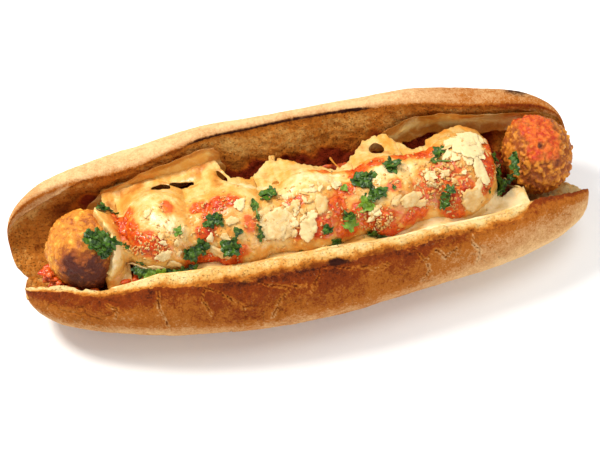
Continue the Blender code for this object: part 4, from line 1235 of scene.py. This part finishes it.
    def strand(points, radii, oil, seed):
        pts = np.array(points, float)
        t = np.linspace(0, len(pts) - 1, 40)
        i = np.minimum(t.astype(int), len(pts) - 2)
        f = (t - i)[:, None]
        g = lambda k: pts[np.clip(k, 0, len(pts) - 1)]
        a, c1, c2, d = g(i - 1), g(i), g(i + 1), g(i + 2)
        path = 0.5 * ((2 * c1) + (c2 - a) * f + (2 * a - 5 * c1 + 4 * c2 - d) * f ** 2 + (3 * c1 - a - 3 * c2 + d) * f ** 3)
        rad = np.interp(t, np.arange(len(radii)), radii)
        tan = np.gradient(path, axis=0)
        tan /= np.linalg.norm(tan, axis=1, keepdims=True)
        ref = np.array((1.0, 0.2, 0.1))
        n1 = np.cross(tan, ref)
        n1 /= np.linalg.norm(n1, axis=1, keepdims=True)
        n2 = np.cross(tan, n1)
        ang = np.linspace(0, 2 * np.pi, 12, endpoint=False)
        ring = path[:, None] + rad[:, None, None] * (np.cos(ang)[None, :, None] * n1[:, None] + np.sin(ang)[None, :, None] * n2[:, None])
        ring = ring + 0.12 * xyz(perlin(ring, 2.0, seed), perlin(ring, 2.0, seed + 1), perlin(ring, 2.0, seed + 2))
        v = ring.reshape(-1, 3)
        q = grid_faces(40, 12, wrap=True)
        caps = np.concatenate([np.stack([np.full(10, 0), np.arange(1, 11), np.arange(2, 12)], axis=1), np.stack([np.full(10, 468), 468 + np.arange(2, 12), 468 + np.arange(1, 11)], axis=1)])
        faces = outward(v, [q, caps])
        b.add(v, quads=faces[0], tris=faces[1], oil=oil, toast=0.1)

    def wall(x, w):
        return half_surface("back", np.array([x]), np.array([w]))[0]

    def fill(x, d):
        return radial(np.array([x]), np.array([d]), cheese_radius(np.array([float(x)]), np.array([float(d)])))[0]

    def pull(xa, da, xb, wb, r, oil, seed, sag=1.5):
        a, c = fill(xa, da), wall(xb, wb)
        m1 = a * 0.66 + c * 0.34 - np.array((0, 0, sag))
        m2 = a * 0.34 + c * 0.66 - np.array((0, 0, sag))
        strand([a, m1, m2, c], [r * 1.8, r, r * 0.8, r * 1.5], oil, seed)

    pull(-7, 46, -4, 2.4, 1.1, 0.25, 320)
    pull(52, 46, 62, 3.0, 0.45, 0.3, 329)
    pull(56, 46, 59, 3.2, 0.4, 0.35, 332)
    pull(27, 50, 25, 3.0, 0.45, 0.6, 335)
    pull(81, 50, 84, 3.1, 0.45, 0.3, 344)
    gv, gf = icosphere(4)
    bx, by, bz = BALLS[6][:3]
    for dx, dy, dz, big in ((-0.70, -0.66, -0.30, 4.2), (-0.62, -0.74, -0.12, 3.2), (-0.74, -0.52, -0.48, 4.0), (-0.56, -0.72, -0.46, 4.4), (-0.86, -0.50, -0.16, 3.0)):
        n = np.array((dx, dy, dz))
        n /= np.linalg.norm(n)
        q = gv * big * 0.6
        q = q * (1 + 0.40 * perlin(q + dx * 50, 4.0, 371) + 0.2 * perlin(q + dy * 50, 1.8, 372))[:, None]
        q = q - np.outer(q @ n, n) * 0.72
        b.add(q + np.array((bx, by, bz)) + n * 19.7, tris=gf, oil=0.04, toast=0.0)
    return b.build("cheese_strings", CHEESE)


place(strings(), "cheese")


# ================================================================ parmesan
def flake(batch, x, deg, length, width, turn, seed, lift=0.25, curl=0.0, thick=0.55, warm=0.15, jag=0.12, tilt=0.0):
    """A thin shaving laid on the filling."""
    p, n, tu, tv = on_filling(x, deg)
    turn = math.radians(turn)
    e1 = tu * math.cos(turn) + tv * math.sin(turn)
    e2 = np.cross(n, e1)
    ph = seed * 1.7

    def mask(a, b):
        th = np.arctan2(b / (width / 2), a / (length / 2))
        r = np.hypot(b / (width / 2), a / (length / 2))
        edge = 1 + jag * (np.sin(3 * th + ph) + 0.7 * np.sin(5 * th + 2.1 * ph) + 0.5 * np.sin(9 * th + 3.3 * ph) + 0.35 * np.sin(17 * th + ph))
        return (edge - r) * min(length, width) / 2 + 0.35 * perlin(xyz(a, b, 0 * a) + seed * 9.0, 1.4, 401)

    def surface(a, b):
        q = p + a[..., None] * e1 + b[..., None] * e2
        yc, zc = axis_at(q[..., 0])
        rel_y, rel_z = q[..., 1] - yc, q[..., 2] - zc
        d = np.degrees(np.arctan2(rel_y, rel_z))
        follow = top_radius(q[..., 0], d)
        q2 = radial(q[..., 0], d, follow)
        q = q2 * 0.7 + q * 0.3
        up = lift + curl * ((a / (length / 2)) ** 2) + tilt * b + 0.35 * perlin(xyz(a, b, 0 * a) + seed * 5.0, 4.0, 402)
        return q + n * up[..., None]

    def thickness(a, b, m):
        e = np.sqrt(np.clip(m / 0.8, 0.03, 1))
        return -0.25 * thick * e, thick * e * (0.8 + 0.35 * perlin(xyz(a, b, 0 * a) + seed * 3.0, 2.2, 403))

    u = np.linspace(-length * 0.72, length * 0.72, max(14, int(length * 1.44 / 0.42)))
    v = np.linspace(-width * 0.75, width * 0.75, max(12, int(width * 1.5 / 0.42)))
    made = sheet(u, v, mask, surface, thickness)
    if made is None:
        return
    verts, quads, attrs = made
    batch.add(verts, quads=outward(verts, [quads])[0], edge=attrs["edge"], warm=warm)


SHAVINGS = [  # x, degrees, length, width, turn, seed, curl, warm
    (86.0, 13.0, 20.0, 15.0, 62.0, 1, 0.9, 0.0),
    (88.5, -27.0, 15.0, 6.0, 100.0, 2, 0.8, 0.1),
    (82.5, -58.0, 13.0, 10.5, 84.0, 3, 0.3, 0.45),
    (53.0, -38.0, 12.5, 7.0, 5.0, 4, 0.2, 0.35),
    (-12.0, -33.0, 17.0, 13.0, 50.0, 5, 0.6, 0.3),
    (2.5, -46.0, 12.0, 8.0, 70.0, 6, 1.1, 0.2),
    (10.5, -18.0, 9.5, 6.5, 80.0, 7, 0.5, 0.4),
    (-40.0, -62.0, 14.0, 5.0, -12.0, 8, 0.3, 0.35),
]
for number_, row_ in enumerate(SHAVINGS, 1):
    one = Batch()
    flake(one, *row_[:6], lift=0.5, curl=row_[6], thick=0.8, warm=row_[7], jag=0.07)
    place(one.build(f"parmesan_shaving_{number_}_look", PARMESAN), "parmesan", f"parmesan_shaving_{number_}")


def small_flakes():
    b = Batch()
    rng = np.random.default_rng(11)
    fixed = [(-27, -1, 7, 5, 60, .2), (-1, -13, 6, 4.5, 80, .3), (-16, -14, 7, 4, 20, .4), (-5, -28, 8, 5, 100, .3), (-4, -36, 7, 6, 10, .2), (5, -32, 7, 5, 60, .2),
             (-8, -48, 8, 5, 30, .3), (-18, -44, 7, 5, 120, .4), (80, 2, 9, 6, 30, .0), (90, -2, 8, 6, 110, .0), (93, 24, 7, 5, 60, .1), (79, 24, 8, 6, 20, .05),
             (84, -8, 7, 5, 80, .1), (75, 6, 6, 4, 40, .1), (86, -44, 7, 4, 60, .3), (-32, -20, 6, 4, 10, .4), (-36, -40, 6, 3.5, 140, .4), (-66, -52, 8, 5, 20, .3),
             (-62, -66, 7, 4, -20, .4), (-70, 4, 5, 3, 50, .3), (58, -48, 6, 4, 0, .4), (46, -34, 6, 4, 40, .4), (20, 8, 6, 4, 30, .2), (-76, -76, 13, 3.2, -14, .3),
             (-70, -70, 8, 3, -10, .3), (29, -84, 7, 3, 5, .3)]
    for k, (x, d, l, w, t, warm) in enumerate(fixed):
        flake(b, x, d, l, w, t, 20 + k, lift=0.45, curl=0.5, thick=0.6, warm=warm)
    clusters = [(-8, -30, 12, 16, 34), (84, 8, 9, 14, 20), (70, -18, 9, 10, 12), (-58, -42, 12, 10, 8), (36, -50, 8, 6, 5), (8, 4, 14, 8, 10)]
    for cx, cd, sx, sd, count in clusters:
        for k in range(count):
            flake(b, cx + rng.normal(0, sx * 0.5), cd + rng.normal(0, sd * 0.8), rng.uniform(2.4, 5.0), rng.uniform(1.6, 3.4), rng.uniform(0, 180), rng.integers(50, 999), lift=rng.uniform(0.3, 1.0), curl=rng.uniform(0, 0.5), thick=0.5, warm=rng.uniform(0.0, 0.5), tilt=rng.uniform(-0.2, 0.2))
    return b.build("parmesan_flakes", PARMESAN)


place(small_flakes(), "parmesan")


def scatter_grains():
    b = Batch()
    rng = np.random.default_rng(21)
    v, f = SPHERES[2]
    groups = [  # centre x, degrees, spread x, spread degrees, count, smallest, largest
        (69, -18, 7.5, 17, 150, 0.45, 1.15), (37, -54, 5.0, 12, 70, 0.4, 1.0), (72, -50, 6, 14, 60, 0.4, 0.9), (-8, -30, 10, 22, 120, 0.45, 1.2),
        (-70, -40, 7, 9, 60, 0.4, 0.9), (-60, -16, 12, 20, 60, 0.35, 0.8), (84, 6, 8, 20, 70, 0.5, 1.2), (-38, 4, 9, 12, 40, 0.35, 0.8), (50, -20, 14, 22, 70, 0.35, 0.8),
        (10, -10, 16, 26, 70, 0.35, 0.9), (-40, -50, 10, 16, 40, 0.35, 0.8), (90, -40, 5, 20, 40, 0.4, 0.9), (60, 10, 14, 16, 40, 0.35, 0.8),
    ]
    xs, ds, rs = [], [], []
    for cx, cd, sx, sd, count, lo, hi in groups:
        count = int(count * 1.5)
        xs.append(cx + rng.normal(0, sx, count))
        ds.append(cd + rng.normal(0, sd, count))
        rs.append(rng.uniform(lo, hi, count) * rng.uniform(0.5, 0.9, count))
    xs, ds, rs = np.concatenate(xs), np.clip(np.concatenate(ds), -98, 45), np.concatenate(rs)
    ok = (xs > -92) & (xs < 99)
    xs, ds, rs = xs[ok], ds[ok], rs[ok]
    pos = radial(xs, ds, top_radius(xs, ds) + rs * 0.35)
    for k in range(len(xs)):
        ax = rng.normal(size=(3, 3))
        qm, _ = np.linalg.qr(ax)
        st = np.array((rng.uniform(1.0, 1.9), rng.uniform(0.6, 1.1), rng.uniform(0.4, 0.9)))
        lump = 1 + 0.35 * np.sin(v @ rng.normal(0, 3.5, 3) + rng.uniform(0, 6)) + 0.2 * np.sin(v @ rng.normal(0, 6.0, 3) + rng.uniform(0, 6))
        b.add((v * lump[:, None] * st * rs[k]) @ qm.T + pos[k], tris=f, warm=rng.uniform(0.35, 1.1), edge=1.0)
    return b.build("parmesan_grains", PARMESAN)


place(scatter_grains(), "parmesan")


# ================================================================ parsley
def leaf(batch, origin, n, tu, size, turn, seed, shade, fold=0.5, lean=0.0, lobes=3):
    """One chopped leaf: lobed, creased along its middle and crinkled."""
    turn = math.radians(turn)
    tv = np.cross(n, tu)
    e1 = tu * math.cos(turn) + tv * math.sin(turn)
    e2 = np.cross(n, e1)
    n2 = n * math.cos(lean) + e2 * math.sin(lean)
    e2 = np.cross(n2, e1)
    ph = seed * 2.39

    def radius(th):
        lobe = np.abs(np.cos(lobes * th / 2)) ** 1.3
        teeth = 0.10 * np.abs(np.sin(6.5 * th + ph)) + 0.05 * np.sin(19 * th + 2 * ph)
        cut = 1 - 0.45 * bump(np.cos(th - ph), 1.0, 0.05)
        return (0.42 + 0.50 * lobe + teeth) * cut

    def mask(a, b):
        th = np.arctan2(b, a)
        return (radius(th) - np.hypot(a, b * 1.18)) * size

    def surface(a, b):
        crease = fold * size * 0.4 * np.abs(b) + 0.16 * size * np.cos(2.2 * a + ph) * b
        crinkle = 0.14 * size * np.sin(5.0 * a + ph) * np.cos(4.6 * b + 2 * ph) + 0.06 * size * np.sin(11 * a + 9 * b + ph)
        h = crease + crinkle + 0.22 * size * a * a * math.sin(ph)
        return origin + (a * size)[..., None] * e1 + (b * size)[..., None] * e2 + h[..., None] * n2

    def thickness(a, b, m):
        return -0.06 + 0 * m, 0.09 + 0 * m

    g = np.linspace(-1.08, 1.08, 20)
    made = sheet(g, g, mask, surface, thickness, lambda a, b: {"vein": np.exp(-((b / 0.06) ** 2)) + 0.7 * np.exp(-(((np.abs(b) - 0.55 * np.abs(a)) / 0.05) ** 2))})
    if made is None:
        return
    verts, quads, attrs = made
    batch.add(verts, quads=outward(verts, [quads])[0], vein=attrs["vein"], shade=shade)


def parsley():
    b = Batch()
    rng = np.random.default_rng(33)
    clusters = [  # x, degrees, count, spread mm, leaf size, brightness
        (-95, -19, 20, 4.6, 2.7, 0.12), (-93, -34, 8, 2.6, 2.3, 0.08), (-90, 42, 6, 3.4, 2.2, 0.18), (-99, -8, 3, 1.6, 2.0, 0.2),
        (-49, -47, 4, 1.8, 3.2, 0.12), (-54, -57, 6, 2.4, 2.4, 0.3), (-40, -17, 9, 3.8, 2.5, 0.2), (-35, -52, 8, 3.0, 2.6, 0.18), (-31, -37, 2, 0.8, 1.6, 0.3),
        (-12, 14, 4, 1.8, 3.0, 0.18), (-20, -5, 3, 1.2, 2.0, 0.45), (-20, -22, 2, 0.9, 1.8, 0.5), (-20, -34, 2, 0.8, 2.0, 0.25), (-20, -47, 2, 0.8, 1.7, 0.4),
        (11, -52, 3, 1.2, 2.1, 0.2), (15, -73, 6, 2.6, 2.3, 0.3), (8, -80, 4, 2.6, 2.0, 0.35), (-3, -92, 3, 2.4, 2.0, 0.4), (24, 3, 2, 1.2, 2.1, 0.75),
        (23, -47, 7, 2.6, 2.4, 0.55), (31, -31, 3, 1.0, 3.0, 0.8), (34, 0, 8, 3.4, 3.0, 0.1), (32, 12, 3, 1.8, 2.4, 0.12), (38, -20, 6, 2.6, 2.7, 0.15),
        (48, 14, 5, 2.0, 2.8, 0.12), (47, 6, 2, 1.0, 2.0, 0.2), (46, -18, 1, 0.3, 1.2, 0.3), (32, -79, 5, 2.2, 2.0, 0.3), (37, -83, 4, 1.8, 1.9, 0.15),
        (73, 18, 3, 1.4, 2.3, 0.15), (70, 8, 2, 1.0, 2.2, 0.4), (72, -43, 4, 1.6, 2.3, 0.12), (68, -60, 2, 1.0, 1.9, 0.35), (70, -52, 2, 1.0, 1.9, 0.2),
        (98, -7, 3, 1.2, 2.1, 0.25), (91, -55, 2, 0.9, 1.8, 0.5), (-58, -25, 2, 0.9, 1.5, 0.6), (98, -76, 8, 3.4, 2.3, 0.12), (100, -62, 4, 2.0, 2.2, 0.1),
        (-58, -82, 3, 2.0, 1.8, 0.25), (-76, -60, 2, 1.0, 1.6, 0.1), (-82, -36, 2, 0.8, 1.6, 0.12),
    ]
    for cx, cd, count, spread, size, bright in clusters:
        for k in range(max(1, int(round(count * 0.62)))):
            x = cx + rng.normal(0, spread * 0.55)
            d = cd + math.degrees(rng.normal(0, spread * 0.55) / 22.5)
            p, n, tu, tv = on_filling(x, d)
            jitter = rng.normal(0, 0.24, 3)
            n2 = n + jitter
            n2 /= np.linalg.norm(n2)
            t2 = tu - n2 * (tu @ n2)
            t2 /= np.linalg.norm(t2)
            leaf(b, p + n * rng.uniform(0.5, 1.7), n2, t2, 1.55 * size * rng.uniform(0.7, 1.25), rng.uniform(0, 360), rng.integers(1, 999), bright + rng.normal(0, 0.08), fold=rng.uniform(0.1, 0.6), lean=rng.normal(0, 0.25), lobes=int(rng.integers(3, 6)))
    # loose leaves in the trough beside the filling, lying on the lower half's inner face
    for x, w, size, bright in ((-73, 1.7, 4.0, 0.62), (-68, 1.5, 3.8, 0.72), (-75, 2.4, 3.4, 0.5), (-70, 2.3, 3.6, 0.6), (-66, 2.4, 3.0, 0.45), (-62, 1.2, 2.6, 0.5), (-64, 1.9, 2.6, 0.3), (-78, 1.6, 3.0, 0.2), (-58, 1.2, 3.0, 0.15), (-53, 1.3, 2.6, 0.12), (-80, 1.9, 2.6, 0.3),
                               (104, 1.3, 2.8, 0.1), (101, 1.0, 2.4, 0.15), (107, 1.6, 2.6, 0.08), (-2, 0.8, 1.8, 0.4), (4, 0.7, 2.0, 0.35), (10, 0.7, 2.2, 0.25), (17, 0.8, 2.0, 0.3), (30, 0.9, 2.0, 0.3)):
        share = 0.25 + 0.25 * w
        near = radial(np.array([float(x)]), np.array([-86.0]), cheese_radius(np.array([float(x)]), np.array([-86.0])))[0]
        p = share * near + (1 - share) * half_surface("front", np.array([x]), np.array([0.9]))[0] - np.array((0, 0, 2.2 if x > -50 else -0.8))
        yc, zc = axis_at(x)
        n = np.array((0, 0.4 * (yc - p[1]), zc + 14 - p[2])) if x > -50 else np.array((-0.1, -0.42, 0.9))
        n /= np.linalg.norm(n)
        tu = np.array((1.0, 0, 0))
        leaf(b, p + n * rng.uniform(1.9, 2.8), n, tu, size, rng.uniform(0, 360), rng.integers(1, 999), bright, fold=0.4, lean=rng.normal(0, 0.3), lobes=int(rng.integers(3, 6)))
    # leaf standing between the last two meatballs
    for x, d, size in ((106.5, -24, 3.6), (106.0, -34, 3.4), (106.5, -44, 2.6)):
        yc, zc = axis_at(x)
        p = radial(np.array([x]), np.array([d]), np.array([19.0]))[0]
        n = np.array((-0.45, -0.6, 0.66))
        n /= np.linalg.norm(n)
        tu = np.array((0.2, 0.75, 0.62))
        tu -= n * (tu @ n)
        tu /= np.linalg.norm(tu)
        leaf(b, p, n, tu, size, rng.uniform(-20, 20), rng.integers(1, 999), 0.1, fold=0.3, lobes=3)
    # stems
    v, f = SPHERES[2]
    for x, d, length, turn in ((-20, -12, 7.0, 85), (-20, -40, 6.0, 80), (73, -2, 8.0, -30), (70, 3, 6.0, -25), (72, -46, 6.0, 70), (68, -60, 5.5, 80), (98, -4, 5.0, 95), (-57, -22, 4.5, 70), (-52, -60, 6.0, 30)):
        p, n, tu, tv = on_filling(x, d)
        c, s = math.cos(math.radians(turn)), math.sin(math.radians(turn))
        e1 = tu * c + tv * s
        e2 = np.cross(n, e1)
        a = v[:, 0]
        q = p + n * 0.9 + (a * length / 2)[:, None] * e1 + (v[:, 1] * 0.42)[:, None] * e2 + (v[:, 2] * 0.42 + 0.4 * a * a)[:, None] * n
        b.add(q, tris=f, vein=0.8, shade=0.45)
    return b.build("parsley_leaves", PARSLEY)


place(parsley(), "cheese")


# ================================================================ floor, light and camera
def floor():
    me = bpy.data.meshes.new("floor")
    s = 3.0
    me.from_pydata([(-s, -s, -0.0002), (s, -s, -0.0002), (s, s, -0.0002), (-s, s, -0.0002)], [], [(0, 1, 2, 3)])
    m = Nodes("floor")
    fine = m.noise(40, 2)
    me.materials.append(m.set(color=m.mix(fine, (0.93, 0.93, 0.93), (0.95, 0.95, 0.95)), rough=0.9, spec=0.1))
    obj = bpy.data.objects.new("floor", me)
    bpy.context.scene.collection.objects.link(obj)


floor()

scene = bpy.context.scene
world = bpy.data.worlds.new("studio")
scene.world = world
world.use_nodes = True
world.node_tree.nodes["Background"].inputs[0].default_value = (1.0, 0.99, 0.97, 1)
world.node_tree.nodes["Background"].inputs[1].default_value = 0.50


def area(name, location, target, size, watts, colour=(1, 1, 1)):
    light = bpy.data.lights.new(name, "AREA")
    light.shape = "DISK"
    light.size = size
    light.energy = watts
    light.color = colour
    obj = bpy.data.objects.new(name, light)
    scene.collection.objects.link(obj)
    obj.location = location
    d = Vector(target) - Vector(location)
    obj.rotation_euler = d.to_track_quat("-Z", "Y").to_euler()


area("key", (-0.42, 0.34, 0.72), (0, 0, 0.03), 0.30, 8.6, (1.0, 0.96, 0.90))
area("top", (0.25, 0.05, 0.9), (0, 0, 0.03), 0.5, 2.6)
area("front_fill", (0.45, -0.7, 0.40), (0, 0, 0.02), 0.5, 2.4)

VIEW = (-12.5, 60.0)  # azimuth and elevation of the view, in degrees
LENS, SENSOR = 85.0, 36.0
PX_PER_M = 2050.0
TARGET = (-0.00215, -0.00105, 0.030)
TARGET_PX = (298.0, 218.2)
az, el = (math.radians(k) for k in VIEW)
back = Vector((math.sin(az) * math.cos(el), -math.cos(az) * math.cos(el), math.sin(el)))
right = Vector((math.cos(az), math.sin(az), 0))
up = back.cross(right)
distance = LENS / SENSOR * 600.0 / PX_PER_M
location = Vector(TARGET) + right * ((300 - TARGET_PX[0]) / PX_PER_M) + up * ((TARGET_PX[1] - 225) / PX_PER_M) + back * distance
camera = bpy.data.cameras.new("camera")
camera.lens = LENS
camera.sensor_width = SENSOR
camera.clip_start = 0.01
camera_object = bpy.data.objects.new("camera", camera)
scene.collection.objects.link(camera_object)
pose = Matrix((right, up, back)).transposed().to_4x4()
pose.translation = location
camera_object.matrix_world = pose
scene.camera = camera_object
scene.view_settings.view_transform = "Standard"
scene.view_settings.look = "None"
